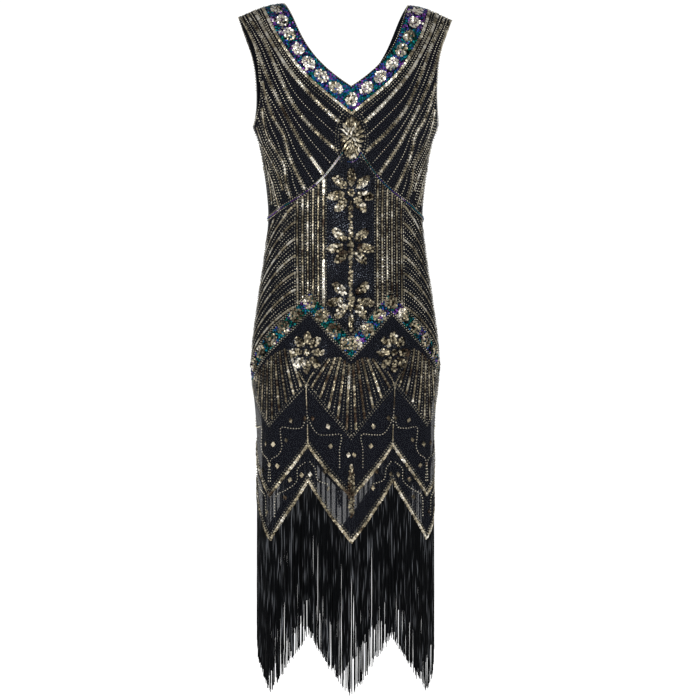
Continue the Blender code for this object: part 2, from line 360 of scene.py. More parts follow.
def shade(colour, strength):
    """A lighter or darker colour of the same dye."""
    return (*[min(channel * strength, 1.0) for channel in colour[:3]], 1.0)


# ---------------------------------------------------------------- the surface of the dress

def smooth_between(low, high, slope_in, slope_out, share):
    """The smooth curve between two values that has a given slope at each."""
    square, cube = share ** 2, share ** 3
    return ((2 * cube - 3 * square + 1) * low + (cube - 2 * square + share) * slope_in
            + (3 * square - 2 * cube) * high + (cube - square) * slope_out)


def read_table(table, depth, column):
    """Read a named column of a table at depths, on a smooth curve through its rows."""
    knots = np.array([row.depth for row in table])
    values = np.array([getattr(row, column) for row in table])
    last = len(table) - 1
    depth = np.clip(depth, knots[0], knots[-1])
    low = np.clip(np.searchsorted(knots, depth, side="right") - 1, 0, last - 1)
    before, high, after = np.maximum(low - 1, 0), low + 1, np.minimum(low + 2, last)
    span = knots[high] - knots[low]
    slope_in = (values[high] - values[before]) / (knots[high] - knots[before]) * span
    slope_out = (values[after] - values[low]) / (knots[after] - knots[low]) * span
    share = (depth - knots[low]) / span
    return smooth_between(values[low], values[high], slope_in, slope_out, share)


def path_of(first, second):
    """A path of two columns."""
    return np.stack([first, second], axis=1)


def smooth_step(value):
    value = np.clip(value, 0.0, 1.0)
    return value * value * (3 - 2 * value)


def half_width_at(depth):
    return read_table(BODY, depth, "half_width")


def tips_round(angle):
    """How many tips round from the centre line an angle lies, always 0 or more."""
    inner = np.abs(angle) / TIP_ANGLE
    outer = 1 + (np.abs(angle) - TIP_ANGLE) / (math.pi - 2 * TIP_ANGLE)
    return np.where(inner <= 1, inner, outer)


def angle_at(tips):
    """The angle that lies so many tips round from the centre line, to either side."""
    return np.interp(tips, (-1.5, -1, 1, 1.5), (-SIDE_ANGLE, -TIP_ANGLE, TIP_ANGLE, SIDE_ANGLE))


def seam_depth(angle):
    """Depth of the shoulder seam at an angle: level at the neck, then falling to the tip."""
    reach = BODY[0].half_width * np.sin(np.abs(angle)) - NECK_HALF_WIDTH
    share = np.maximum(reach, 0.0) / (SHOULDER_HALF_WIDTH - NECK_HALF_WIDTH)
    return SHOULDER_DROP * share ** SHOULDER_CURVE


def shoulder_round(angle, depth):
    """Share of the body's half depth left at a height: 1 at the armpit, 0 on the seam."""
    rise = (ARMHOLE_DEPTH - depth) / (ARMHOLE_DEPTH - seam_depth(angle))
    rise = np.clip(rise, 0.0, 1.0)
    return (1 - rise ** SHOULDER_CROWN[0]) ** SHOULDER_CROWN[1]


def surface(side, angle, depth):
    """Points of the dress's outer surface, without its folds."""
    eased = smooth_step((depth - FLUTE_TOP_DEPTH) / (FLUTE_FULL_DEPTH - FLUTE_TOP_DEPTH))
    trough = FLUTE_TROUGH * eased * (1 - np.cos(2 * math.pi * tips_round(angle))) / 2
    column = "front" if side == FRONT else "back"
    x = (half_width_at(depth) - trough) * np.sin(angle)
    y = (read_table(BODY, depth, column) - trough) * np.cos(angle)
    return np.stack([x, side * y * shoulder_round(angle, depth), -depth], axis=-1)


def fold_height(side, angle, depth):
    """How far the soft folds of a panel stand out, nothing at its side seams."""
    height = np.zeros_like(depth)
    place = np.stack([angle * ARC, depth], axis=-1)
    for fold in FOLDS[side]:
        top = np.array([math.radians(fold.angle) * ARC, fold.depth])
        run = np.array([math.radians(fold.end_angle) * ARC, fold.end_depth]) - top
        along = np.clip(((place - top) @ run) / (run @ run), 0.0, 1.0)
        off = np.linalg.norm(place - top - along[..., None] * run, axis=-1)
        swell = np.sin(np.pi * (FOLD_START + (1 - 2 * FOLD_START) * along))
        height += fold.height * swell * np.exp(-(off / fold.half_width) ** 2)
    return height * smooth_step((SIDE_ANGLE - np.abs(angle)) / FOLD_FADE)


def dress_points(side, angle, depth, lift=0.0):
    """Points on the folded surface, moved outwards by lift and kept clear of the seams."""
    angle, depth = np.asarray(angle, float), np.asarray(depth, float)
    step = NORMAL_STEP
    point = surface(side, angle, depth)
    across = surface(side, angle + step, depth) - surface(side, angle - step, depth)
    down = surface(side, angle, depth + step) - surface(side, angle, depth - step)
    normal = np.cross(across, down) * side
    normal[np.abs(point[..., 1]) < 5 * SEAM_CLEARANCE, 1] = 0.0
    normal /= np.linalg.norm(normal, axis=-1, keepdims=True)
    rise = lift + fold_height(side, angle, depth)
    point = point + normal * rise[..., None]
    point[..., 1] = side * np.maximum(np.abs(point[..., 1]), SEAM_CLEARANCE)
    return point


def neck_half_width(depth):
    """Half width of the neckline at a depth, 0 below the V."""
    fall = np.minimum(depth / V_DEPTH, 1.0)
    return NECK_HALF_WIDTH * (1 - fall) * (1 + V_FULLNESS[0] * fall ** V_FULLNESS[1])


def neckline_angle(depth):
    return np.arcsin(neck_half_width(depth) / half_width_at(depth))


def armhole_angle(depth):
    edge = read_table(ARMHOLE, depth, "half_width")
    return np.arcsin(np.minimum(edge / half_width_at(depth), 1.0))


def zigzag_depth(angle, high, low):
    """Depth of a hem that falls to a low tip and rises to a high valley by turns."""
    turn = tips_round(angle)
    from_tip = np.minimum(2 * np.abs(turn - np.round(turn)), 1.0)
    return mix(high, low, (1 - from_tip) ** HEM_CURVE)


# ---------------------------------------------------------------- lines of embroidery

def lengths_along(points):
    """How far each point of a path is from its start."""
    return np.r_[0.0, np.cumsum(np.linalg.norm(np.diff(points, axis=0), axis=1))]


def curve_through(points, samples=40):
    """An evenly sampled smooth curve through a few points of two columns."""
    points = np.array(points, float)
    chord = lengths_along(points)
    slopes = np.gradient(points, chord, axis=0)
    at = np.linspace(0.0, chord[-1], samples)
    low = np.clip(np.searchsorted(chord, at, side="right") - 1, 0, len(points) - 2)
    high = low + 1
    span = (chord[high] - chord[low])[:, None]
    share = (at - chord[low])[:, None] / span
    return smooth_between(points[low], points[high], slopes[low] * span, slopes[high] * span,
                          share)


def across_to_angle(path):
    """Turn (half width, depth) points into (angle, depth) points on the panel."""
    path = np.asarray(path, float)
    angle = np.arcsin(np.clip(path[:, 0] / half_width_at(path[:, 1]), -1, 1))
    depth = np.maximum(path[:, 1], seam_depth(angle) + SHOULDER_MARGIN)
    return path_of(angle, depth)


def tips_to_angle(path):
    """Turn (tips round, depth) points into (angle, depth) points."""
    path = np.asarray(path, float)
    return path_of(angle_at(path[:, 0]), path[:, 1])


def tips_curve(points):
    """A smooth curve through (tips round, depth) points, as (angle, depth) points."""
    return tips_to_angle(curve_through(np.array(points) * (TIP_ARC, 1), 48) / (TIP_ARC, 1))


def mirrored(path):
    """The path and its mirror image about the centre line."""
    path = np.asarray(path, float)
    return [path, path * (-1, 1)]


def even(path, count):
    """A path of two columns sampled again at even distances."""
    length = lengths_along(path)
    at = np.linspace(0.0, length[-1], count)
    return path_of(*[np.interp(at, length, column) for column in np.transpose(path)])


def neck_line(share):
    """A line along the neck band, 0 at the neckline and 1 at the band's border."""
    depth = np.linspace(V_DEPTH, 0.0, 200)
    inner = path_of(neck_half_width(depth), depth)
    depth = np.linspace(NECK_BORDER[-1].depth, END_GAP, 200)
    outer = path_of(read_table(NECK_BORDER, depth, "half_width"), depth)
    outer[0, 0] = 0.0
    return across_to_angle(mix(even(inner, 60), even(outer, 60), share))


def armhole_line(inset):
    """A line beside the armhole's edge."""
    depth = np.linspace(SHOULDER_DROP + END_GAP, ARMHOLE_DEPTH - END_GAP, 60)
    return path_of(armhole_angle(depth) - inset / ARC, depth)


def beside(path, offset):
    """A line that runs at a distance beside a (half width, depth) path."""
    run = np.gradient(path, axis=0)
    run /= np.linalg.norm(run, axis=1, keepdims=True)
    return path + offset * path_of(-run[:, 1], run[:, 0])


def ray_curves():
    return [curve_through(ray, 80) for ray in RAYS]


def ray_paths():
    return [across_to_angle(ray) for ray in ray_curves()]


def bust_depth(across):
    points = np.array(BUST_SEAM)
    return np.interp(across, points[:, 0], points[:, 1])


def bust_line(offset=0.0):
    path = curve_through(BUST_SEAM)
    path[:, 1] += offset
    return across_to_angle(path)


def hip_depth(angle):
    """Depth of the hip band's centre line."""
    degrees, depths = np.array(HIP_BAND).T
    return np.interp(np.degrees(np.abs(angle)), degrees, depths)


def hip_line(offset):
    angle = np.linspace(0.0, LAST_ANGLE, 90)
    return path_of(angle, hip_depth(angle) + offset)


def stripe_positions():
    return np.linspace(STRIPE_FIRST, STRIPE_LAST, STRIPE_COUNT)


def stripe_line(across):
    """A vertical line from the bust seam down to the hip band."""
    guess = math.asin(across / float(half_width_at(STRIPE_END)))
    bottom = float(hip_depth(guess)) - HIP_HALF_HEIGHT - END_GAP
    depth = np.linspace(bust_depth(across) + STRIPE_GAP, bottom, 40)
    return across_to_angle(path_of(np.full(40, across), depth))


def chevron_line(number):
    """One slanted line from the stripes out to the side seam; numbers may be fractions."""
    start = CHEVRON_TOP + CHEVRON_STEP * number
    share = np.linspace(0.0, 1.0, 40)
    angle = mix(np.arcsin(CHEVRON_START / half_width_at(start)), CHEVRON_END, share)
    depth = start + CHEVRON_DROP * share ** CHEVRON_CURVE
    top = bust_depth(half_width_at(depth) * np.sin(angle)) + CHEVRON_GAPS[0]
    bottom = hip_depth(angle) - HIP_HALF_HEIGHT - CHEVRON_GAPS[1]
    return path_of(angle, depth)[(depth > top) & (depth < bottom)]


def chevron_lines(numbers, last_angle=SIDE_ANGLE):
    """The slanted lines of both sides, as far as an angle round the body."""
    lines = [chevron_line(number) for number in numbers]
    return both_sides([line[line[:, 0] < last_angle] for line in lines])


def fan_edge(fan, share):
    """A point of a fan's outline: its valleys at shares -1 and 1 and its tip at 0."""
    return np.array([fan.tips + share * FAN_HALF_WIDTH,
                     mix(fan.depth, FAN_VALLEY, abs(share) ** HEM_CURVE)])


def fan_line(fan, share):
    """A line from below the hip band out to a fan's outline."""
    tips = fan.tips + share * fan.narrow
    top = max(fan.top, float(hip_depth(tips * TIP_ANGLE)) + FAN_GAP)
    reach = np.linspace(FAN_ARCH * abs(share) ** 2, FAN_STOP, 40)[:, None]
    path = tips_to_angle(mix(np.array([tips, top]), fan_edge(fan, share), reach))
    return path[np.abs(path[:, 0]) < LAST_ANGLE]


def fan_outline(fan, inset):
    path = np.array([fan_edge(fan, share) for share in np.linspace(-1.0, 1.0, 61)])
    path[:, 0] = mix(path[:, 0], fan.tips, inset / FAN_HEIGHT)
    path[:, 1] -= inset
    return tips_to_angle(path)


def fan_shares():
    return np.linspace(-0.90, 0.90, FAN_STRIPS)


def hem_lines(offsets):
    """Lines along both hems at distances above their edges."""
    angle = np.linspace(-HEM_END, HEM_END, 361)
    return [path_of(angle, zigzag_depth(angle, *hem) - offset)
            for hem in HEMS for offset in offsets]


def clear_of(row, lines, closest):
    """The part of a row that is further than a distance from every line."""
    scale = np.array([ARC, 1.0])
    gaps = [np.linalg.norm((row[:, None] - even(line, 200)[None]) * scale, axis=2).min(axis=1)
            for line in lines]
    return row[np.min(gaps, axis=0) > closest]


def both_sides(rows):
    """The rows that are long enough to sew, each with its mirror image."""
    return [image for row in rows if len(row) > 3 for image in mirrored(row)]


def ray_bead_paths():
    """Bead rows halfway between the rays of one panel."""
    lines = ray_paths()
    return both_sides([clear_of(mix(even(first, 80), even(second, 80), 0.5), (first, second),
                                BETWEEN) for first, second in zip(lines, lines[1:])])


def bodice_bead_paths():
    """Bead rows of the bodice, waist and hip of one panel."""
    border, rays = neck_line(1.0)[::-1][:40], ray_paths()
    rows = []
    for number, curve in enumerate(ray_curves()):
        others = [border, *rays[:number], *rays[number + 1:]]
        for offset in (BESIDE, -BESIDE):
            rows.append(clear_of(across_to_angle(beside(curve, offset)), others, CROWDED))
    rows += [clear_of(neck_line(share), rays, YOKE_CLEAR) for share in YOKE_BEADS]
    rows += [neck_line(share) for share in NECK_BEADS]
    rows.append(armhole_line(ARMHOLE_INSET))
    rows += [bust_line(offset) for offset in BUST_BEADS]
    across = stripe_positions()
    half = (across[1] - across[0]) / 2
    rows += [stripe_line(place) for place in np.r_[across - half, across[-1] + half]]
    paths = both_sides(rows)
    numbers = np.arange(CHEVRON_COUNT - 1)
    for share, last_angle in CHEVRON_BEADS:
        paths += chevron_lines(numbers + share, math.radians(last_angle))
    return paths + both_sides([*[hip_line(offset) for offset in HIP_BEADS],
                               *[medallion_arc(scale) for scale in MEDALLION_BEADS]])


def medallion_arc(scale):
    """A bracket of beads beside the medallion."""
    turn = np.radians(np.linspace(-BRACKET_TURN, BRACKET_TURN, 24))
    half_width, half_height = MEDALLION_SIZE
    down = half_height * scale * BRACKET_HEIGHT * np.sin(turn)
    return across_to_angle(path_of(half_width * scale * np.cos(turn), MEDALLION_DEPTH + down))


def skirt_bead_paths():
    """Bead rows of the fans and the hems of one panel."""
    paths = []
    shares = fan_shares()
    step = (shares[1] - shares[0]) / 2
    for fan in FANS:
        paths += [fan_line(fan, share) for share in np.r_[shares - step, shares[-1] + step]]
        paths += [fan_outline(fan, inset) for inset in FAN_BEADS]
    return off_seams(paths + hem_lines(HEM_BEADS))


def off_seams(paths):
    """The paths as far as they keep clear of the side seams."""
    inside = [path[np.abs(path[:, 0]) < LAST_ANGLE] for path in paths]
    return [path for path in inside if len(path) > 1]


def scroll_bead_paths():
    """Bead rows of the skirt's scrolls, each with its mirror image about a hem valley."""
    paths = mirrored(tips_to_angle([(0.5, SCROLL_TOP), (0.5, SCROLL_MEET)]))
    for scroll in SCROLLS:
        paths += mirrored(tips_curve(scroll))
        if scroll[0][0] > 0.5:
            paths += mirrored(tips_curve([(2 - tips, depth) for tips, depth in scroll]))
    return off_seams(paths)


def thin_gold_paths():
    """Thin gold threads: forks between the fans, and lines down to the hem's valleys."""
    paths = []
    for hand in (-1, 1):
        paths += mirrored(tips_curve([(0.5 + tips * hand, FAN_VALLEY + below)
                                      for tips, below in FORK]))
    for top, bottom in ((FAN_VALLEY + FORK[-1][1], SCROLL_TOP), (SCROLL_END, SLIP_HEM_HIGH)):
        paths += mirrored(tips_to_angle([(0.5, top), (0.5, bottom)]))
    return paths


def glint_paths():
    """Short stretches of the lines where extra sequins, painted paler and laid flat, give a painted
    highlight.
    """
    rays, stripe = ray_paths(), stripe_line(STRIPE_FIRST)
    share, first, last = FAN_GLINT
    return [*[rays[ray][start:end] * (hand, 1) for ray, start, end, hand in RAY_GLINTS],
            *[stripe[start:end] * (-1, 1) for start, end in STRIPE_GLINTS],
            fan_line(FANS[1], share)[first:last]]


# ---------------------------------------------------------------- making pieces

def fill(tree, node, sockets):
    """Set or link the sockets named. A node is linked by its first output in use."""
    for socket, value in sockets.items():
        if isinstance(value, bpy.types.Node):
            value = next(output for output in value.outputs if output.enabled)
        if isinstance(value, bpy.types.NodeSocket):
            tree.links.new(value, node.inputs[socket])
        else:
            node.inputs[socket].default_value = value


def add_node(tree, kind, sockets=None, **settings):
    """Add a node with its settings, and fill its sockets."""
    added = tree.nodes.new(kind)
    for name, value in settings.items():
        setattr(added, name, value)
    fill(tree, added, sockets or {})
    return added


def new_tree(name, kinds):
    """A geometry tree with named inputs, what adds a node to it, and its inputs."""
    tree = bpy.data.node_groups.new(name, "GeometryNodeTree")
    for in_out in ("INPUT", "OUTPUT"):
        tree.interface.new_socket("Geometry", in_out=in_out, socket_type="NodeSocketGeometry")
    for kind, labels in kinds.items():
        for label in labels:
            tree.interface.new_socket(label, in_out="INPUT", socket_type="NodeSocket" + kind)
    return tree, partial(add_node, tree), add_node(tree, "NodeGroupInput").outputs


SEWN_INPUTS = {"Object": ("Ground", "Item"), "Material": ("Finish",), "Int": ("Seed",),
               "Float": ("Pitch", "Lift", "Loft", "Tip", "Tilt", "Size change", "Shade")}


def sew_items(node, entry, points, along):
    """Rest of a sewing tree: put the item on the cloth at every point, each a bit off true."""
    seed, tilt = entry["Seed"], entry["Tilt"]
    ground, item = (node("GeometryNodeObjectInfo", {"Object": entry[name]}).outputs["Geometry"]
                    for name in ("Ground", "Item"))
    here = node("GeometryNodeInputPosition")
    nearest, normal = (node("GeometryNodeSampleNearestSurface", {"Mesh": ground, "Value": value},
                            data_type="FLOAT_VECTOR")
                       for value in (here, node("GeometryNodeInputNormal")))
    loft = node(RANDOM, {2: 0.0, 3: entry["Loft"], "Seed": seed})
    lift = node(MATH, {0: entry["Lift"], 1: loft}, operation="ADD")
    rise = node(VECTOR_MATH, {0: normal, "Scale": lift}, operation="SCALE")
    place = node(VECTOR_MATH, {0: nearest, 1: rise}, operation="ADD")
    laid = node("GeometryNodeSetPosition", {"Geometry": points, "Position": place})
    stand = node("FunctionNodeAxesToRotation", {0: normal, 1: along},
                 primary_axis="Z", secondary_axis="X")
    tilt_back = node(MATH, {0: tilt, 1: -1.0}, operation="MULTIPLY")
    lean, lean_back = (node(COMBINE, {0: most, 1: most, 2: most}) for most in (tilt, tilt_back))
    chance = node(RANDOM, {0: lean_back, 1: lean, "Seed": seed}, data_type="FLOAT_VECTOR")
    tip = node(COMBINE, {1: entry["Tip"]})
    lay = node(VECTOR_MATH, {0: chance, 1: tip}, operation="ADD")
    turned = node("FunctionNodeEulerToRotation", {0: lay})
    pose = node("FunctionNodeRotateRotation", {0: stand, 1: turned}, rotation_space="LOCAL")
    smallest = node(MATH, {0: 1.0, 1: entry["Size change"]}, operation="SUBTRACT")
    size = node(RANDOM, {2: smallest, 3: 1.0, "Seed": seed})
    sewn = node("GeometryNodeInstanceOnPoints",
                {"Points": laid, "Instance": item, "Rotation": pose, "Scale": size})
    patch = node(NOISE, {"Vector": here, "Scale": PATCH_SCALE, "Detail": 1.0})
    dye = node(RANDOM, {2: DYE_RANGE[0], 3: DYE_RANGE[1], "Seed": seed})
    dye = node(MATH, {0: dye, 1: entry["Shade"]}, operation="ADD")
    tone = node(MATH, {0: patch, 1: PATCH_STRENGTH, 2: dye}, operation="MULTIPLY_ADD")
    marked = node(STORE, {"Geometry": sewn, "Name": "tone", "Value": tone},
                  data_type="FLOAT", domain="INSTANCE")
    real = node("GeometryNodeRealizeInstances", {0: marked})
    done = node("GeometryNodeSetMaterial", {"Geometry": real, "Material": entry["Finish"]})
    node("NodeGroupOutput", {0: done})


def sewn_run():
    """A tree that sews an item along lines at an even pitch."""
    tree, node, entry = new_tree("sewn_run", SEWN_INPUTS)
    line = node("GeometryNodeMeshToCurve", {0: entry["Geometry"]})
    spaced = node("GeometryNodeResampleCurve", {"Curve": line, "Length": entry["Pitch"]},
                  mode="LENGTH")
    sew_items(node, entry, spaced, node("GeometryNodeInputTangent"))
    return tree


def sewn_patch():
    """A tree that sews an item all over patches, no two closer than the pitch."""
    tree, node, entry = new_tree("sewn_patch", SEWN_INPUTS)
    spread = node("GeometryNodeDistributePointsOnFaces",
                  {"Mesh": entry["Geometry"], "Distance Min": entry["Pitch"],
                   "Density Max": 900000.0, "Seed": entry["Seed"]}, distribute_method="POISSON")
    along = node(RANDOM, {0: (-1.0, -1.0, -1.0), 1: (1.0, 1.0, 1.0)}, data_type="FLOAT_VECTOR")
    sew_items(node, entry, spread, along)
    return tree


FRINGE_INPUTS = {"Material": ("Finish",), "Int": ("Seed",),
                 "Float": ("Pitch", "Length", "Uneven", "Scatter", "Bunch", "Wander", "Diameter")}


def hung_fringe():
    """A tree that hangs round strands from a line, bunching and wandering as they fall."""
    tree, node, entry = new_tree("hung_fringe", FRINGE_INPUTS)
    line = node("GeometryNodeMeshToCurve", {0: entry["Geometry"]})
    roots = node("GeometryNodeResampleCurve", {"Curve": line, "Length": entry["Pitch"]},
                 mode="LENGTH")
    here, tangent = node("GeometryNodeInputPosition"), node("GeometryNodeInputTangent")
    level = node(VECTOR_MATH, {0: tangent, 1: (1.0, 1.0, 0.0)}, operation="MULTIPLY")
    level = node(VECTOR_MATH, {0: level}, operation="NORMALIZE")
    for name, value in (("along", level), ("root", here)):
        roots = node(STORE, {"Geometry": roots, "Name": name, "Value": value},
                     data_type="FLOAT_VECTOR", domain="POINT")
    drop = node("GeometryNodeCurvePrimitiveLine", {"End": (0.0, 0.0, -1.0)})
    drop = node("GeometryNodeResampleCurve", {"Curve": drop, "Count": STRAND_POINTS})
    chance = node(RANDOM, {2: 0.0, 3: 1.0, "Seed": entry["Seed"]})
    short = node(MATH, {0: chance, 1: LENGTH_BIAS}, operation="POWER")
    short = node(MATH, {0: short, 1: entry["Uneven"]}, operation="MULTIPLY")
    share = node(MATH, {0: 1.0, 1: short}, operation="SUBTRACT")
    length = node(MATH, {0: share, 1: entry["Length"]}, operation="MULTIPLY")
    scale = node(COMBINE, {0: 1.0, 1: 1.0, 2: length})
    hung = node("GeometryNodeInstanceOnPoints",
                {"Points": roots, "Instance": drop, "Scale": scale})
    toned = node(STORE, {"Geometry": hung, "Name": "tone", "Value": chance},
                 data_type="FLOAT", domain="INSTANCE")
    real = node("GeometryNodeRealizeInstances", {0: toned})
    along, root = (node(READ, {"Name": name}, data_type="FLOAT_VECTOR")
                   for name in ("along", "root"))
    tone = node(READ, {"Name": "tone"}, data_type="FLOAT")
    factor = node("GeometryNodeSplineParameter")
    loose = node(MATH, {0: factor, 1: SWAY_GROWTH}, operation="POWER")
    bunch = node(NOISE, {"Vector": root, **STRAND_NOISE})
    bunch = node(MATH, {0: bunch, 1: 0.5}, operation="SUBTRACT")
    bunch = node(MATH, {0: bunch, 1: entry["Bunch"]}, operation="MULTIPLY")
    shift = node(MATH, {0: tone, 1: SWAY_APART}, operation="MULTIPLY")
    shift = node(COMBINE, {0: shift, 1: shift})
    apart = node(VECTOR_MATH, {0: here, 1: shift}, operation="ADD")
    wander = node(NOISE, {"Vector": apart, **SWAY_NOISE}).outputs["Color"]
    centred = node(VECTOR_MATH, {0: wander, 1: (0.5, 0.5, 0.5)}, operation="SUBTRACT")
    across, outwards = (node(MATH, {0: part, 1: entry["Wander"]}, operation="MULTIPLY")
                        for part in node("ShaderNodeSeparateXYZ", {0: centred}).outputs[:2])
    sway = node(MATH, {0: across, 1: bunch}, operation="ADD")
    sway = node(MATH, {0: sway, 1: loose}, operation="MULTIPLY")
    stray = node("ShaderNodeTexWhiteNoise", {"W": tone}, noise_dimensions="1D")
    stray = node(MATH, {0: stray, 1: 0.5}, operation="SUBTRACT")
    stray = node(MATH, {0: stray, 1: entry["Scatter"]}, operation="MULTIPLY")
    opened = node(MATH, {0: factor, 1: SPREAD_GROWTH}, operation="MULTIPLY", use_clamp=True)
    sway = node(MATH, {0: stray, 1: opened, 2: sway}, operation="MULTIPLY_ADD")
    swung = node(VECTOR_MATH, {0: along, "Scale": sway}, operation="SCALE")
    outwards = node(MATH, {0: outwards, 1: loose}, operation="MULTIPLY")
    facing = node(VECTOR_MATH, {0: along, 1: (0.0, 0.0, 1.0)}, operation="CROSS_PRODUCT")
    strayed = node(VECTOR_MATH, {0: facing, "Scale": outwards}, operation="SCALE")
    offset = node(VECTOR_MATH, {0: swung, 1: strayed}, operation="ADD")
    fallen = node("GeometryNodeSetPosition", {"Geometry": real, "Offset": offset})
    radius = node(MATH, {0: entry["Diameter"], 1: 0.5}, operation="MULTIPLY")
    ring = node("GeometryNodeCurvePrimitiveCircle", {"Resolution": 4, "Radius": radius})
    strands = node("GeometryNodeCurveToMesh",
                   {"Curve": fallen, "Profile Curve": ring, "Fill Caps": True})
    smooth = node("GeometryNodeSetShadeSmooth", {"Geometry": strands})
    done = node("GeometryNodeSetMaterial", {"Geometry": smooth, "Material": entry["Finish"]})
    node("NodeGroupOutput", {0: done})
    return tree


def kept(group, maker, *values):
    """The tree or material that a function names after itself, made only once."""
    return group.get(maker.__name__) or maker(*values)


def apply_tree(piece, tree, values):
    """Run a tree on a piece and keep its result as the piece's plain mesh."""
    modifier = piece.modifiers.new(tree.name, "NODES")
    modifier.node_group = tree
    sockets = {item.name: item.identifier for item in tree.interface.items_tree
               if item.in_out == "INPUT"}
    for name, value in values.items():
        modifier[sockets[name]] = value
    shape = piece.evaluated_get(bpy.context.evaluated_depsgraph_get())
    made = bpy.data.meshes.new_from_object(shape)
    piece.modifiers.remove(modifier)
    guide = piece.data
    piece.data = made
    bpy.data.meshes.remove(guide)
    made.name = piece.name
    if not made.polygons:
        raise RuntimeError(f"{piece.name} came out empty")


def link_object(name, data):
    piece = bpy.data.objects.new(name, data)
    bpy.context.scene.collection.objects.link(piece)
    return piece


def mesh_of(name, shape, smooth=False):
    """The mesh of a finished bmesh."""
    mesh = bpy.data.meshes.new(name)
    shape.to_mesh(mesh)
    shape.free()
    if smooth:
        mesh.shade_smooth()
    return mesh


def edges_object(name, points, edges):
    mesh = bpy.data.meshes.new(name)
    mesh.from_pydata(points, edges, [])
    return link_object(name, mesh)


def lines_object(name, side, paths):
    """A mesh of plain edges that follow (angle, depth) paths on a panel."""
    points, edges = [], []
    for path in paths:
        first = len(points)
        points += dress_points(side, *path.T).tolist()
        edges += [(i, i + 1) for i in range(first, len(points) - 1)]
    return edges_object(name, points, edges)


def patches_object(name, side, rings):
    """A mesh of flat patches, each a ring of (angle, depth) points about its middle."""
    shape = bmesh.new()
    for ring in rings:
        shape.faces.new([shape.verts.new(point) for point in dress_points(side, *ring.T)])
    return link_object(name, mesh_of(name, shape))


def arc_at(angle, depth):
    """Width of cloth for each radian at a point of the front panel."""
    step = surface(FRONT, np.array(angle + ARC_STEP), np.array(depth))
    step -= surface(FRONT, np.array(angle), np.array(depth))
    return float(np.linalg.norm(step)) / ARC_STEP


def depth_below(angle, depth, length):
    """Depths that lie lengths of cloth below a point of the front panel."""
    level = np.linspace(float(seam_depth(angle)), depth + PATCH_REACH, 200)
    run = lengths_along(surface(FRONT, np.full(200, angle), level))
    return np.interp(np.interp(depth, level, run) + length, run, level)


def oval_ring(angle, depth, half_width, half_height, turn=0.0):
    """An oval round a point of a panel, turned clockwise."""
    around = np.linspace(0.0, 2 * np.pi, OVAL_CORNERS, endpoint=False)
    across, down = half_width * np.cos(around), half_height * np.sin(around)
    spun = across * math.cos(turn) - down * math.sin(turn)
    sunk = across * math.sin(turn) + down * math.cos(turn)
    return path_of(angle + spun / arc_at(angle, depth), depth_below(angle, depth, sunk))


def ovals_along(line, first, pitch, half_size):
    """Ovals along a line of the front panel at an even pitch from its start, mirrored."""
    fine = even(line * (ARC, 1), 400) / (ARC, 1)
    length = lengths_along(surface(FRONT, *fine.T))
    rings = []
    for place in np.arange(first, length[-1] - half_size[1], pitch):
        spot = int(np.searchsorted(length, place))
        here, ahead, behind = fine[spot], fine[min(spot + 4, len(fine) - 1)], fine[max(spot - 4, 0)]
        fall = np.diff(surface(FRONT, here[0], np.array([behind[1], ahead[1]])), axis=0)
        fall = np.linalg.norm(fall) * np.sign(ahead[1] - behind[1])
        turn = math.atan2((behind[0] - ahead[0]) * arc_at(*here), fall)
        for hand in (1, -1):
            rings.append(oval_ring(here[0] * hand, here[1], *half_size, turn * hand))
    return rings


def strip_rings(first, second):
    """Four-cornered patches between two paths with as many points each."""
    return [np.array([first[i], first[i + 1], second[i + 1], second[i]])
            for i in range(len(first) - 1)]


def sew(name, shapes, item, finish, pitch, lift, loft=0.0, tip=0.0, tilt=0.1, change=0.1,
        tone=0.0, seed=1, patches=False):
    """Sew an item along lines, or all over patches, on both panels."""
    tree = kept(bpy.data.node_groups, sewn_patch if patches else sewn_run)
    guide_of = patches_object if patches else lines_object
    for word, side in PANELS:
        piece = guide_of(f"{name}_{word}", side, shapes)
        apply_tree(piece, tree, {
            "Ground": bpy.data.objects[f"{LOOSE}ground_{word}"], "Item": item, "Pitch": pitch,
            "Lift": lift, "Loft": loft, "Tip": tip, "Tilt": tilt, "Size change": change,
            "Shade": tone, "Finish": finish, "Seed": seed})
        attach(piece, "root")


def loose_item(name, maker, **sizes):
    """An item to sew, made only once and removed with the other helpers."""
    name = LOOSE + name
    return bpy.data.objects.get(name) or link_object(name, maker(name, **sizes))


def round_item(name, radius, sides, cup):
    """A cupped round sequin."""
    shape = bmesh.new()
    bmesh.ops.create_circle(shape, cap_ends=True, cap_tris=True, segments=sides, radius=radius)
    for corner in shape.verts:
        if corner.co.length > radius / 2:
            corner.co.z += cup
    return mesh_of(name, shape, smooth=True)


def gold_sequin(diameter):
    """The gold sequin of one size."""
    return loose_item(f"sequin_{diameter * 10000:.0f}", round_item, radius=diameter / 2,
                      sides=8, cup=0.0003)


def faceted_item(name, half_length, half_width, height):
    """A pointed sequin with four facets, its length along X."""
    shape = bmesh.new()
    corners = ((half_length, 0), (0, half_width), (-half_length, 0), (0, -half_width))
    rim = [shape.verts.new((x, y, 0.0)) for x, y in corners]
    peak = shape.verts.new((0.0, 0.0, height))
    for i in range(4):
        shape.faces.new((rim[i], rim[(i + 1) % 4], peak))
    return mesh_of(name, shape)


def bead_item(name, diameter):
    """A seed bead lying on its side."""
    shape = bmesh.new()
    bmesh.ops.create_icosphere(shape, subdivisions=1, radius=diameter / 2)
    return mesh_of(name, shape, smooth=True)


# ---------------------------------------------------------------- cloth shells

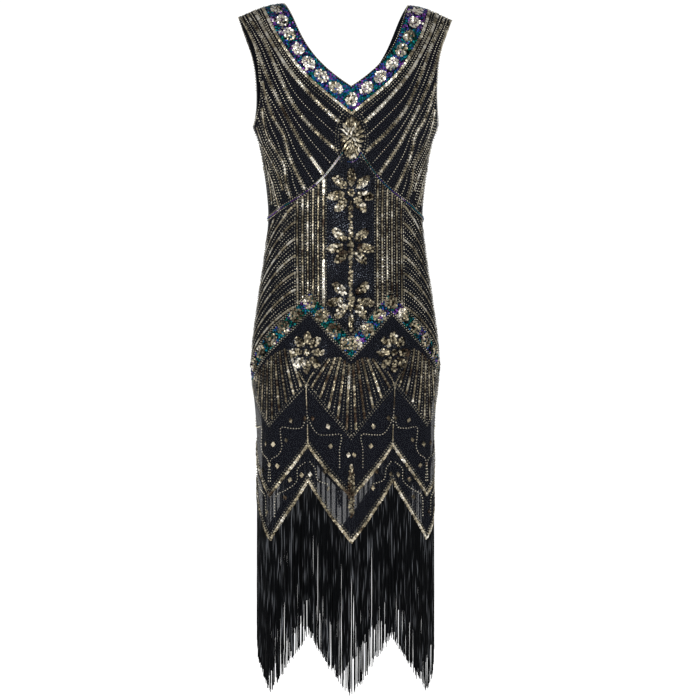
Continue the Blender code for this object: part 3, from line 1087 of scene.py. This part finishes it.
def panel_grid(hem):
    """Rows of (angle, depth) from the shoulder seam to a hem, for the half with x above 0."""
    columns = np.linspace(0.0, 1.0, GRID_COLUMNS)
    shares = np.r_[np.linspace(1.0, 0.97, 3), np.linspace(0.955, 0.0, YOKE_ROWS)]
    shares = np.sort(np.r_[shares, 1 - V_DEPTH / ARMHOLE_DEPTH])[::-1]
    rows = []
    for share in shares:
        inner = float(neckline_angle(ARMHOLE_DEPTH * (1 - share)))
        outer = float(armhole_angle(mix(ARMHOLE_DEPTH, SHOULDER_DROP, share)))
        angle = mix(inner, outer, columns)
        rows.append((angle, mix(ARMHOLE_DEPTH, seam_depth(angle), share)))
    level = columns * SIDE_ANGLE
    for depth in np.linspace(ARMHOLE_DEPTH, FLUTE_TOP_DEPTH, WAIST_ROWS)[1:]:
        rows.append((level, np.full_like(level, depth)))
    end = hem(level)
    for share in np.linspace(0.0, 1.0, SKIRT_ROWS)[1:]:
        rows.append((level, mix(FLUTE_TOP_DEPTH, end, share)))
    return rows


def shell_mesh(name, side, hem, lift):
    """A whole panel as an open surface facing outwards, with its weave's UV map in metres."""
    shape = bmesh.new()
    weave = shape.loops.layers.uv.new("weave")
    for hand in (1, -1):
        grid, places = [], []
        for angle, depth in panel_grid(hem):
            angle = angle * hand
            points = dress_points(side, angle, depth, lift(angle, depth))
            grid.append([shape.verts.new(point) for point in points])
            places.append(list(zip(angle * ARC, -depth)))
        for low in range(len(grid) - 1):
            for i in range(len(grid[low]) - 1):
                spots = [(low, i), (low, i + 1), (low + 1, i + 1), (low + 1, i)]
                if side * hand < 0:
                    spots.reverse()
                face = shape.faces.new([grid[r][c] for r, c in spots])
                for loop, (r, c) in zip(face.loops, spots):
                    loop[weave].uv = places[r][c]
    bmesh.ops.remove_doubles(shape, verts=shape.verts, dist=0.00001)
    return mesh_of(name, shape, smooth=True)


def cloth_shell(name, side, hem, lift, wall, finish):
    """A panel with its wall, replacing the solid of the same name."""
    mesh = shell_mesh(name, side, hem, lift)
    mesh.materials.append(finish)
    piece = link_object(name + "_cloth", mesh)
    solid = piece.modifiers.new("wall", "SOLIDIFY")
    solid.thickness = wall
    solid.offset = 1.0
    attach(piece, "root")
    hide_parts(name)
    return piece


def net_hem(angle):
    return zigzag_depth(angle, *HEMS[1])


def slip_hem(angle):
    return zigzag_depth(angle, *HEMS[0])


def slip_lift(angle, depth):
    """How far the slip lies below the net: a little, and more at the sides of the skirt."""
    low, high = SLIP_HANG_DEPTHS
    front, side = SLIP_HANG_ANGLES
    down = smooth_step((depth - low) / (high - low))
    round_side = smooth_step((np.abs(angle) - front) / (side - front))
    return SLIP_LIFT - SLIP_HANG * down * round_side


# ---------------------------------------------------------------- materials

def new_material(name):
    """A material with what adds a node to it and what fills its shader."""
    material = bpy.data.materials.new(name)
    material.use_nodes = True
    tree = material.node_tree
    return (material, partial(add_node, tree),
            partial(fill, tree, tree.nodes["Principled BSDF"]))


def colour_ramp(node, source, stops):
    """Colours by value: stops are (place, linear colour)."""
    ramp = node("ShaderNodeValToRGB", {0: source})
    elements = ramp.color_ramp.elements
    while len(elements) < len(stops):
        elements.new(1.0)
    for element, (place, colour) in zip(elements, stops):
        element.position, element.color = place, colour
    return ramp


def tone_of(node):
    """The tone that each sequin, bead or strand is given as it is sewn."""
    return node("ShaderNodeAttribute", attribute_name="tone").outputs["Fac"]


def toned_material(name, metallic, roughness, stops):
    """Film or glass whose colour follows the tone of each sequin or bead."""
    material, node, shade_with = new_material(name)
    shade_with({"Base Color": colour_ramp(node, tone_of(node), stops),
                "Metallic": metallic, "Roughness": roughness})
    return material


def gold_sequin_film():
    """Metallised polyester film, punched into cups: pale champagne to bronze, mirror bright."""
    dyes = bpy.context.scene.dress_colours
    return toned_material("gold_sequin_film", 1.0, 0.2, (
        (0.04, dyes.gold_deep), (0.20, shade(dyes.gold, 0.24)), (0.56, dyes.gold),
        (0.96, dyes.gold_pale)))


def iridescent_sequin_film():
    """Interference-coated film: teal, blue and violet, darker than the gold; its last, pale stop is
    a painted highlight, for sparkles and the seam's glint.
    """
    dyes = bpy.context.scene.dress_colours
    return toned_material("iridescent_sequin_film", 1.0, 0.3, (
        (0.05, shade(dyes.green, 0.1)), (0.24, dyes.green), (0.42, dyes.teal),
        (0.58, dyes.blue), (0.72, dyes.violet), (0.88, shade(dyes.violet, 1.9)),
        # painted highlight: the pale gold stop, reached by the highest tones
        (1.00, dyes.gold_pale)))


def champagne_glass_bead():
    """Silver-lined glass seed beads in champagne: a bright core under clear glass."""
    glass = bpy.context.scene.dress_colours.bead
    return toned_material("champagne_glass_bead", 0.6, 0.22, (
        (0.1, shade(glass, 0.5)), (0.5, glass), (0.9, shade(glass, 1.9))))


def jet_glass_bead():
    """Jet glass beads with a dull metal lustre."""
    glass = bpy.context.scene.dress_colours.jet
    return toned_material("jet_glass_bead", 0.7, 0.25, (
        (0.2, shade(glass, 0.18)), (0.6, glass), (0.95, shade(glass, 4.0))))


def black_tulle(opacity):
    """Black polyester tulle: thin, dull, and seen through where nothing lies behind it."""
    material, node, shade_with = new_material("black_tulle")
    place = node("ShaderNodeUVMap", uv_map="weave")
    mesh = node("ShaderNodeTexVoronoi", {"Vector": place, "Scale": TULLE_HOLES},
                feature="DISTANCE_TO_EDGE")
    dye = bpy.context.scene.dress_colours.net
    shade_with({"Base Color": colour_ramp(node, mesh, ((0.0, dye), (0.35, shade(dye, 0.75)))),
                "Roughness": 0.75, "Specular IOR Level": 0.05, "Alpha": opacity})
    return material


def black_satin():
    """Black polyester satin: a deep blue-black with a soft sheen along the folds."""
    material, node, shade_with = new_material("black_satin")
    place = node("ShaderNodeUVMap", uv_map="weave")
    stretched = node("ShaderNodeMapping", {"Vector": place, "Scale": SATIN_STREAKS})
    thread = node(NOISE, {"Vector": stretched, "Scale": 1.0, "Detail": 2.0})
    dye = bpy.context.scene.dress_colours.slip
    bump = node("ShaderNodeBump", {"Height": thread, "Strength": 0.2, "Distance": 0.0002})
    shade_with({"Base Color": colour_ramp(node, thread, ((0.3, shade(dye, 0.7)), (0.7, dye))),
                "Normal": bump, "Roughness": 0.55, "Specular IOR Level": 0.06})
    return material


def rayon_fringe():
    """Twisted rayon strands: black with a fine twist; their silky lustre is a painted highlight,
    grey streaks painted into the colour over a weak real sheen.
    """
    material, node, shade_with = new_material("rayon_fringe")
    place = node("ShaderNodeTexCoord").outputs["Object"]
    tone = tone_of(node)
    dyes = bpy.context.scene.dress_colours
    dye = colour_ramp(node, tone, ((0.0, shade(dyes.fringe, 0.35)), (1.0, dyes.fringe)))
    height = node("ShaderNodeSeparateXYZ", {0: place}).outputs[2]
    strand = node(MATH, {0: tone, 1: PAINTED_GLEAM_APART}, operation="MULTIPLY")
    height = node(MATH, {0: height, 1: PAINTED_GLEAM_GRAIN, 2: strand}, operation="MULTIPLY_ADD")
    spot = node(COMBINE, {0: strand, 1: height})
    streak = node(NOISE, {"Vector": spot, "Scale": 1.0, "Detail": 0.0}, noise_dimensions="2D")
    # painted highlight: grey gleam streaks painted into the strands' colour where the noise is high
    gleam = colour_ramp(node, streak, ((0.63, shade(dyes.gleam, 0.0)),
                                       (0.73, shade(dyes.gleam, 0.3)), (0.84, dyes.gleam)))
    mixed = node("ShaderNodeMix", {0: 1.0, 6: dye, 7: gleam}, data_type="RGBA",
                 blend_type="LIGHTEN").outputs[2]
    twist = node("ShaderNodeTexWave", {"Vector": place, "Scale": TWIST_WAVES, "Distortion": 2.0},
                 bands_direction="DIAGONAL").outputs["Fac"]
    bump = node("ShaderNodeBump", {"Height": twist, "Strength": 0.3, "Distance": 0.0002})
    shade_with({"Base Color": mixed, "Normal": bump, "Roughness": 0.5,
                "Specular IOR Level": 0.04})
    return material


def studio_floor():
    """White acrylic sheet lit from below: even and nearly free of shadow."""
    material, node, shade_with = new_material("studio_floor")
    place = node("ShaderNodeTexCoord").outputs["Object"]
    grain = node(NOISE, {"Vector": place, "Scale": FLOOR_CLOUDS})
    colour = colour_ramp(node, grain, ((0.3, hex_colour("FBFBFB")), (0.7, hex_colour("FEFEFE"))))
    shade_with({"Base Color": colour, "Roughness": 0.9, "Specular IOR Level": 0.1,
                "Emission Color": hex_colour("FFFFFF"), "Emission Strength": 0.7})
    return material


# ---------------------------------------------------------------- settings

def colour_property(name, description, code):
    """A colour that a user may change, starting from an sRGB hex code."""
    return FloatVectorProperty(name=name, description=description, size=4, subtype="COLOR",
                               min=0.0, max=1.0, default=hex_colour(code))


class ColourSettings(bpy.types.PropertyGroup):
    """Colours of the film, glass, cloth and strands."""

    gold: colour_property("Gold", "Gold film, as most of it looks", "A89D84")
    gold_deep: colour_property("Deep gold", "Darkest gold film", "40342A")
    gold_pale: colour_property("Pale gold", "Brightest gold film", "F2EDE0")
    green: colour_property("Green", "First colour of the iridescent film", "0A5548")
    teal: colour_property("Teal", "Second colour of the iridescent film", "0B6670")
    blue: colour_property("Blue", "Third colour of the iridescent film", "1C3C80")
    violet: colour_property("Violet", "Last colour of the iridescent film", "573072")
    bead: colour_property("Bead", "Champagne seed beads", "B6AF9C")
    jet: colour_property("Jet", "Dark seed beads", "626670")
    net: colour_property("Net", "The tulle", "1E2027")
    slip: colour_property("Slip", "The satin", "16181F")
    fringe: colour_property("Fringe", "The strands", "0B0D10")
    # painted highlight: the grey painted in streaks into the strands' colour
    gleam: colour_property("Gleam", "The strands where they catch the light", "6C6F74")


def number(name, description, default, low, high, unit="LENGTH", subtype="NONE"):
    """A number that a user may change, in metres unless it says otherwise."""
    return FloatProperty(name=name, description=description, default=default, min=low,
                         max=high, unit=unit, subtype=subtype)


class ClothSettings(bpy.types.PropertyGroup):
    """Sizes of the net and the slip."""

    net_wall: number("Net wall", "Thickness of the net", 0.0006, 0.0002, 0.001)
    net_opacity: number("Net opacity", "How much one face of the net hides", 0.44, 0.0, 1.0,
                        "NONE", "FACTOR")
    slip_wall: number("Slip wall", "Thickness of the slip", 0.0005, 0.0002, 0.001)


class EmbroiderySettings(bpy.types.PropertyGroup):
    """Sizes of the sequins and beads."""

    sequin_scale: number("Sequin scale", "Size of the gold sequins", 1.0, 0.5, 2.0,
                         "NONE", "FACTOR")
    bead: number("Bead", "Diameter of a seed bead", 0.0021, 0.001, 0.005)
    bead_pitch: number("Bead pitch", "Distance between beads in a row", 0.0046, 0.002, 0.01)
    cluster_pitch: number("Cluster pitch", "Least distance between sequins of a flower",
                          0.0021, 0.001, 0.01)
    band_pitch: number("Band pitch", "Least distance between iridescent sequins",
                       0.0022, 0.001, 0.01)


class FringeSettings(bpy.types.PropertyGroup):
    """Sizes of the two fringes."""

    length: number("Length", "Drop of a strand below its hem", 0.250, 0.05, 0.5)
    pitch: number("Strand pitch", "Distance between strands along the hem", 0.0015, 0.001, 0.01)
    diameter: number("Strand", "Diameter of a strand", 0.0013, 0.0004, 0.004)
    uneven: number("Unevenness", "Share by which the shortest strand is shorter",
                   0.07, 0.0, 0.5, "NONE", "FACTOR")
    scatter: number("Scatter", "How unevenly the strands are spaced", 0.0040, 0.0, 0.02)
    bunch: number("Bunching", "How far neighbouring strands draw together", 0.0050, 0.0, 0.05)
    wander: number("Wander", "How far a single strand strays", 0.003, 0.0, 0.05)


class StageSettings(bpy.types.PropertyGroup):
    """Light and camera."""

    sky: number("Sky", "Strength of the even studio light", 0.45, 0.0, 5.0, "NONE")
    backdrop: number("Backdrop", "Brightness of the white behind the dress", 1.1, 0.0, 5.0,
                     "NONE")
    key: number("Key light", "Power of the front light", 11.0, 0.0, 500.0, "POWER")
    distance: number("Camera distance", "From the camera to the dress", 3.6, 1.0, 20.0)
    azimuth: number("Camera azimuth", "Turn of the camera to its right", math.radians(-5.0),
                    -math.pi, math.pi, "NONE", "ANGLE")


# ---------------------------------------------------------------- operators

class DRESS_OT_slip(bpy.types.Operator):
    """Make the opaque black slip under the net."""

    bl_idname = "dress.slip"
    bl_label = "Slip"

    def execute(self, context):
        wall = context.scene.dress_cloth.slip_wall
        finish = kept(bpy.data.materials, black_satin)
        for word, side in PANELS:
            piece = cloth_shell("slip_" + word, side, slip_hem, slip_lift, wall, finish)
        return {"FINISHED"}


class DRESS_OT_net(bpy.types.Operator):
    """Make the net over the slip, and the ground that its embroidery lies on."""

    bl_idname = "dress.net"
    bl_label = "Net"

    def execute(self, context):
        cloth = context.scene.dress_cloth
        finish = kept(bpy.data.materials, black_tulle, cloth.net_opacity)
        for word, side in PANELS:
            piece = cloth_shell("net_" + word, side, net_hem,
                                lambda angle, depth: -cloth.net_wall, cloth.net_wall, finish)
            ground = f"{LOOSE}ground_{word}"
            link_object(ground, shell_mesh(ground, side, net_hem, lambda angle, depth: 0.0))
        return {"FINISHED"}


class DRESS_OT_fringe(bpy.types.Operator):
    """Hang the upper fringe from the slip's hem and the lower fringe from the net's."""

    bl_idname = "dress.fringe"
    bl_label = "Fringe"

    def execute(self, context):
        sizes = context.scene.dress_fringe
        tree = kept(bpy.data.node_groups, hung_fringe)
        values = {name.title(): getattr(sizes, name) for name in FringeSettings.__annotations__}
        values["Finish"] = kept(bpy.data.materials, rayon_fringe)
        upper, lower = hem_lines((FRINGE_OVERLAP,))
        upper_lift = slip_lift(*upper.T) + UPPER_FRINGE_LIFT
        for tier, line, lift, gaps, seed in (
                ("upper", upper, upper_lift, UPPER_FRINGE_GAPS, 11),
                ("lower", lower, LOWER_FRINGE_LIFT, (), 23)):
            turn = tips_round(line[:, 0]) * np.sign(line[:, 0])
            sewn = np.full(len(turn), True)
            sparse = np.arange(len(turn)) % SPARSE[1] < SPARSE[0]
            for tip, half_gap in gaps:
                sewn &= sparse | (np.abs(turn - tip) > half_gap)
            edges = [(i, i + 1) for i in range(len(line) - 1) if sewn[i] and sewn[i + 1]]
            for word, side in PANELS:
                points = dress_points(side, *line.T, lift).tolist()
                piece = edges_object(f"fringe_{tier}_{word}_strands", points, edges)
                apply_tree(piece, tree, {**values, "Seed": seed + side})
                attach(piece, "root")
                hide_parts(f"fringe_{tier}_{word}")
        return {"FINISHED"}


Run = namedtuple("Run", "name sequin pitch tilt tone paths")


def sequin_runs():
    """Gold sequin lines of one panel: how they are sewn, and their paths."""
    first, *rest = ray_paths()
    fans = [[fan_line(fan, share) for share in fan_shares()] for fan in FANS]
    return (
        # ray_first: the upper part of the first ray is painted paler (tone 0.20) than the other
        # rays, a painted highlight
        Run("ray_first", 0.0052, 0.0022, 0.10, 0.20, mirrored(first[:RAY_SPLIT + 1])),
        Run("rays", 0.0042, 0.0021, 0.14, 0.02, both_sides([first[RAY_SPLIT:], *rest])),
        Run("neck_border", 0.0050, 0.0021, 0.12, 0.08, mirrored(neck_line(1.0))),
        # glints: a painted highlight, extra sequins painted paler (tone 0.60) and laid nearly flat
        # so the lamps also catch them
        Run("glints", 0.0050, 0.0020, 0.04, 0.60, glint_paths()),
        Run("stripes", 0.0034, 0.0018, 0.14, -0.10,
            both_sides([stripe_line(across) for across in stripe_positions()])),
        Run("chevrons", 0.0044, 0.0020, 0.12, 0.00, chevron_lines(range(CHEVRON_COUNT))),
        Run("centre_fan", 0.0044, 0.0021, 0.20, -0.34, fans[1]),
        Run("side_fans", 0.0042, 0.0021, 0.16, -0.16, [*fans[0], *fans[2]]),
        Run("threads", 0.0020, 0.0015, 0.15, -0.10, thin_gold_paths()),
        Run("hems", 0.0042, 0.0019, 0.42, -0.08, hem_lines(HEM_GOLD)),
    )


class DRESS_OT_sequin_lines(bpy.types.Operator):
    """Sew the gold sequin lines of the rays, stripes, chevrons, fans and hems."""

    bl_idname = "dress.sequin_lines"
    bl_label = "Sequin lines"

    def execute(self, context):
        scale = context.scene.dress_embroidery.sequin_scale
        finish = kept(bpy.data.materials, gold_sequin_film)
        for number, run in enumerate(sequin_runs()):
            sew("gold_" + run.name, run.paths, gold_sequin(run.sequin * scale), finish,
                pitch=run.pitch * scale, lift=0.0006, loft=0.0005, tip=-0.06, tilt=run.tilt,
                change=0.12, tone=run.tone, seed=31 + number)
        return {"FINISHED"}


class DRESS_OT_bead_rows(bpy.types.Operator):
    """Sew the rows of seed beads between the sequin lines."""

    bl_idname = "dress.bead_rows"
    bl_label = "Bead rows"

    def execute(self, context):
        sizes = context.scene.dress_embroidery
        finish = kept(bpy.data.materials, champagne_glass_bead)
        item = loose_item("bead", bead_item, diameter=sizes.bead)
        for part, paths, tone in (("bodice", bodice_bead_paths(), 0.0),
                                  ("rays", ray_bead_paths(), 0.45),
                                  ("skirt", skirt_bead_paths(), -0.22),
                                  ("scrolls", scroll_bead_paths(), 0.45)):
            sew("beads_" + part, paths, item, finish, pitch=sizes.bead_pitch,
                lift=sizes.bead * 0.4, tilt=0.3, change=0.2, tone=tone, seed=41)
        return {"FINISHED"}


def band_rings(first, second):
    """Patches that fill the band between two lines of one side, and its mirror image."""
    return [ring for hand in (1, -1)
            for ring in strip_rings(first * (hand, 1), second * (hand, 1))]


class DRESS_OT_bands(bpy.types.Operator):
    """Cover the neck band and the hip band with iridescent sequins."""

    bl_idname = "dress.bands"
    bl_label = "Iridescent bands"

    def execute(self, context):
        pitch = context.scene.dress_embroidery.band_pitch
        finish = kept(bpy.data.materials, iridescent_sequin_film)
        item = loose_item("small_sequin", round_item, radius=0.0019, sides=6, cup=0.0003)
        neck = band_rings(neck_line(0.10), neck_line(0.90))
        hip = band_rings(hip_line(-HIP_HALF_HEIGHT), hip_line(HIP_HALF_HEIGHT))
        for part, rings, spread, tone in (("neck", neck, 1.0, 0.0), ("hip", hip, 1.3, -0.12)):
            sew("band_" + part, rings, item, finish, pitch=pitch * spread, lift=0.0004,
                loft=0.0008, tilt=0.45, change=0.2, tone=tone, seed=53, patches=True)
        return {"FINISHED"}


def petal_rings(angle, depth, petals, turns):
    """Oval petals round a point, pointing outwards, and their centre."""
    centre = petals.half_width * FLOWER_CENTRE
    rings = [oval_ring(angle, depth, centre, centre)]
    for turn in turns:
        spot = angle + petals.radius * math.sin(turn) / arc_at(angle, depth)
        level = depth - petals.radius * petals.tall * math.cos(turn)
        rings.append(oval_ring(spot, level, petals.half_width, petals.half_length, turn))
    return rings


def flower_rings():
    """Petal patches of every flower of one panel."""
    turns = np.radians(PANEL_PETAL_TURNS)
    rings = []
    for number, depth in enumerate(PANEL_FLOWERS):
        rings += petal_rings(0.0, depth, PANEL_PETALS, turns if number == 0 else turns[1:])
    for hand in (1, -1):
        rings += petal_rings(hand * HIP_FLOWER[0], HIP_FLOWER[1], HIP_PETALS,
                             np.radians(np.arange(0, 360, 45)))
    return rings


def leaf_rings(depth, half_widths, swell):
    """Patches down the centre line, as wide at each depth as the leaf's swell makes them."""
    right = path_of(mix(*half_widths, swell) / ARC, depth)
    return strip_rings(right * (-1, 1), right)


def stem_rings():
    """The leafy stem through the flowers of the centre panel."""
    depth = np.linspace(PANEL_FLOWERS[0] + STEM_TOP, STEM_BOTTOM, 90)
    swell = np.abs(np.sin(np.pi * (depth - depth[0]) / STEM_LEAF))
    return leaf_rings(depth, STEM_HALF_WIDTHS, swell)


def hem_leaf_rings():
    """A long dark leaf that runs down over the centre tips of the two hems."""
    return leaf_rings(np.linspace(*HEM_LEAF_DEPTHS, 40), HEM_LEAF_HALF_WIDTHS,
                      np.sin(np.linspace(*HEM_LEAF_SWELL, 40)))


class DRESS_OT_flowers(bpy.types.Operator):
    """Sew the flowers, their stem, the hem's leaf and the clusters of the two bands."""

    bl_idname = "dress.flowers"
    bl_label = "Flowers and clusters"

    def execute(self, context):
        sizes = context.scene.dress_embroidery
        finish = kept(bpy.data.materials, gold_sequin_film)
        item = gold_sequin(0.0044 * sizes.sequin_scale)
        middle = neck_line(0.50)
        neck = ovals_along(middle, NECK_CLUSTER_PITCH, NECK_CLUSTER_PITCH, NECK_CLUSTER)
        neck.append(oval_ring(0.0, float(middle[0][1]), *NECK_CLUSTER))
        hip = ovals_along(hip_line(0.0), HIP_CLUSTER_START, HIP_CLUSTER_PITCH, HIP_CLUSTER)
        for part, rings, tilt, tone in (("flowers", flower_rings() + stem_rings(), 0.70, -0.08),
                                        ("hem_leaf", hem_leaf_rings(), 0.70, -0.26),
                                        ("neck_clusters", neck, 0.50, 0.26),
                                        ("hip_clusters", hip, 0.60, -0.18)):
            sew(part, rings, item, finish, pitch=sizes.cluster_pitch, lift=0.0008,
                loft=0.0020, tilt=tilt, change=0.25, tone=tone, seed=61, patches=True)
        return {"FINISHED"}


def medallion_spots():
    """Short lines that point outwards from the medallion's middle, one for each leaf."""
    spots = []
    arc = arc_at(0.0, MEDALLION_DEPTH)
    for reach, count in MEDALLION_RINGS:
        for turn in np.linspace(0.0, 2 * np.pi, count, endpoint=False) + reach:
            out = np.array([math.sin(turn), math.cos(turn)]) * MEDALLION_SIZE
            ends = np.array([out * reach, out * (reach + LEAF_STEP)])
            spots.append(ends / (arc, 1) + (0.0, MEDALLION_DEPTH))
    return spots


class DRESS_OT_medallion(bpy.types.Operator):
    """Sew the oval sunburst below the neckline."""

    bl_idname = "dress.medallion"
    bl_label = "Medallion"

    def execute(self, context):
        item = loose_item("leaf", faceted_item, half_length=0.0054, half_width=0.0025,
                          height=0.0015)
        sew("medallion", medallion_spots(), item, kept(bpy.data.materials, gold_sequin_film),
            pitch=0.01, lift=0.0016, loft=0.0012, tip=0.05, tilt=0.55, change=0.15,
            tone=0.10, seed=67)
        return {"FINISHED"}


class DRESS_OT_diamonds(bpy.types.Operator):
    """Sew the loose diamond sequins of the skirt."""

    bl_idname = "dress.diamonds"
    bl_label = "Diamond sequins"

    def execute(self, context):
        item = loose_item("diamond", faceted_item, half_length=0.0048, half_width=0.0038,
                          height=0.0010)
        paths = []
        for tips, depth in DIAMONDS:
            paths += mirrored(tips_to_angle([(tips, depth), (tips, depth + 0.0005)]))
        sew("diamonds", paths, item, kept(bpy.data.materials, gold_sequin_film),
            pitch=0.01, lift=0.0008, loft=0.0004, tilt=0.42, change=0.2, tone=-0.18, seed=71)
        return {"FINISHED"}


class DRESS_OT_bust_seam(bpy.types.Operator):
    """Sew the iridescent line along the seam under the bust."""

    bl_idname = "dress.bust_seam"
    bl_label = "Bust seam"

    def execute(self, context):
        finish = kept(bpy.data.materials, iridescent_sequin_film)
        bead = loose_item("seam_bead", bead_item, diameter=0.0021)
        film = loose_item("seam_sequin", round_item, radius=0.0015, sides=6, cup=0.0002)
        seam = bust_line()
        arc = across_to_angle(curve_through(MEDALLION_SEAM))
        for part, item, paths, tip, tilt, tone in (
                ("seam", bead, [*mirrored(seam), arc], 0.0, 0.25, 0.05),
                # seam_glint: the left stretch of the seam painted nearly white (tone 0.9, the
                # film's palest stop), a painted highlight, and tipped towards the key light
                ("seam_glint", film, [seam[2:17] * (-1, 1)], -0.15, 0.10, 0.9)):
            sew("bust_" + part, paths, item, finish, pitch=0.0019, lift=0.0012, loft=0.0003,
                tip=tip, tilt=tilt, tone=tone, seed=73)
        return {"FINISHED"}


class DRESS_OT_panel_beads(bpy.types.Operator):
    """Sprinkle jet beads over the centre panel and the triangles under the hip band."""

    bl_idname = "dress.panel_beads"
    bl_label = "Panel beads"

    def execute(self, context):
        item = loose_item("small_bead", bead_item, diameter=0.0021)
        across = np.linspace(0.0, STRIPE_FIRST - END_GAP, 24)
        top = across_to_angle(path_of(across, bust_depth(across) + STRIPE_GAP))
        bottom_angle = np.arcsin(across / half_width_at(PANEL_END))
        bottom = path_of(bottom_angle, hip_depth(bottom_angle) - HIP_HALF_HEIGHT)
        levels = [mix(top, bottom, share) for share in np.linspace(0.0, 1.0, 13)]
        rings = [ring for upper, lower in zip(levels, levels[1:])
                 for ring in band_rings(upper, lower)]
        rings += mirrored(oval_ring(*HIP_FLOWER, *HIP_GROUND))
        sew("panel_beads", rings, item, kept(bpy.data.materials, jet_glass_bead),
            pitch=0.0032, lift=0.0006, tilt=0.5, change=0.3, seed=83, patches=True)
        return {"FINISHED"}


class DRESS_OT_declare(bpy.types.Operator):
    bl_idname = "dress.declare"
    bl_label = "Declare the cloth"

    def execute(self, context):
        pieces = list(bpy.data.objects)
        for piece in pieces:
            if piece.name.startswith(LOOSE):
                bpy.data.objects.remove(piece)
        return {"FINISHED"}


def face(thing, place, aim):
    """Put a light or the camera at a place, turned to face a point."""
    thing.location = place
    thing.rotation_euler = (Vector(aim) - Vector(place)).to_track_quat("-Z", "Y").to_euler()


class DRESS_OT_stage(bpy.types.Operator):
    """Set the camera, the soft studio light and the plain pale floor."""

    bl_idname = "dress.stage"
    bl_label = "Stage"

    def execute(self, context):
        stage = context.scene.dress_stage
        shape = bmesh.new()
        bmesh.ops.create_circle(shape, cap_ends=True, segments=96, radius=FLOOR_RADIUS,
                                matrix=Matrix.Translation((0.0, 0.0, FLOOR_HEIGHT)))
        floor = link_object("studio_floor", mesh_of("studio_floor", shape))
        floor.data.materials.append(kept(bpy.data.materials, studio_floor))
        world = bpy.data.worlds.new("studio")
        world.use_nodes = True
        tree = world.node_tree
        seen = add_node(tree, "ShaderNodeLightPath").outputs["Is Camera Ray"]
        strength = add_node(tree, MATH, {0: seen, 1: stage.backdrop - stage.sky, 2: stage.sky},
                            operation="MULTIPLY_ADD")
        fill(tree, tree.nodes["Background"], {"Color": hex_colour("FFFFFF"),
                                              "Strength": strength})
        context.scene.world = world
        for box in SOFT_BOXES:
            light = bpy.data.lights.new(box.name, "AREA")
            light.shape = "RECTANGLE"
            light.size, light.size_y = box.size
            light.energy = stage.key * box.share
            face(link_object(box.name, light), box.place, (0.0, 0.0, -box.aim_depth))
        camera = link_object("camera", bpy.data.cameras.new("camera"))
        camera.data.lens = CAMERA_LENS
        turn, distance = stage.azimuth, stage.distance
        face(camera, (distance * math.sin(turn), -distance * math.cos(turn), CAMERA_HEIGHT),
             (CAMERA_AIM, 0.0, CAMERA_HEIGHT))
        context.scene.camera = camera
        context.scene.view_settings.view_transform = "Standard"
        return {"FINISHED"}


class DRESS_PT_panel(bpy.types.Panel):
    """Steps of the dress, in the order in which they are made."""

    bl_label = "Flapper dress"
    bl_idname = "DRESS_PT_panel"
    bl_space_type = "VIEW_3D"
    bl_region_type = "UI"
    bl_category = "Dress"

    def draw(self, context):
        for group in SETTINGS:
            box = self.layout.box()
            settings = getattr(context.scene, group)
            for name in settings.__annotations__:
                box.prop(settings, name)
        for step in STEPS:
            self.layout.operator(step.bl_idname)


SETTINGS = {"dress_colours": ColourSettings, "dress_cloth": ClothSettings,
            "dress_embroidery": EmbroiderySettings, "dress_fringe": FringeSettings,
            "dress_stage": StageSettings}
STEPS = (DRESS_OT_stage, DRESS_OT_slip, DRESS_OT_net, DRESS_OT_fringe, DRESS_OT_sequin_lines,
         DRESS_OT_bead_rows, DRESS_OT_bands, DRESS_OT_flowers, DRESS_OT_medallion,
         DRESS_OT_diamonds, DRESS_OT_bust_seam, DRESS_OT_panel_beads, DRESS_OT_declare)


def register():
    for kind in (*SETTINGS.values(), *STEPS, DRESS_PT_panel):
        bpy.utils.register_class(kind)
    for name, kind in SETTINGS.items():
        setattr(bpy.types.Scene, name, PointerProperty(type=kind))


def unregister():
    for name in SETTINGS:
        delattr(bpy.types.Scene, name)
    for kind in reversed((*SETTINGS.values(), *STEPS, DRESS_PT_panel)):
        bpy.utils.unregister_class(kind)


def main():
    register()
    for step in STEPS:
        group, name = step.bl_idname.split(".")
        getattr(getattr(bpy.ops, group), name)()


if __name__ == "__main__":
    main()
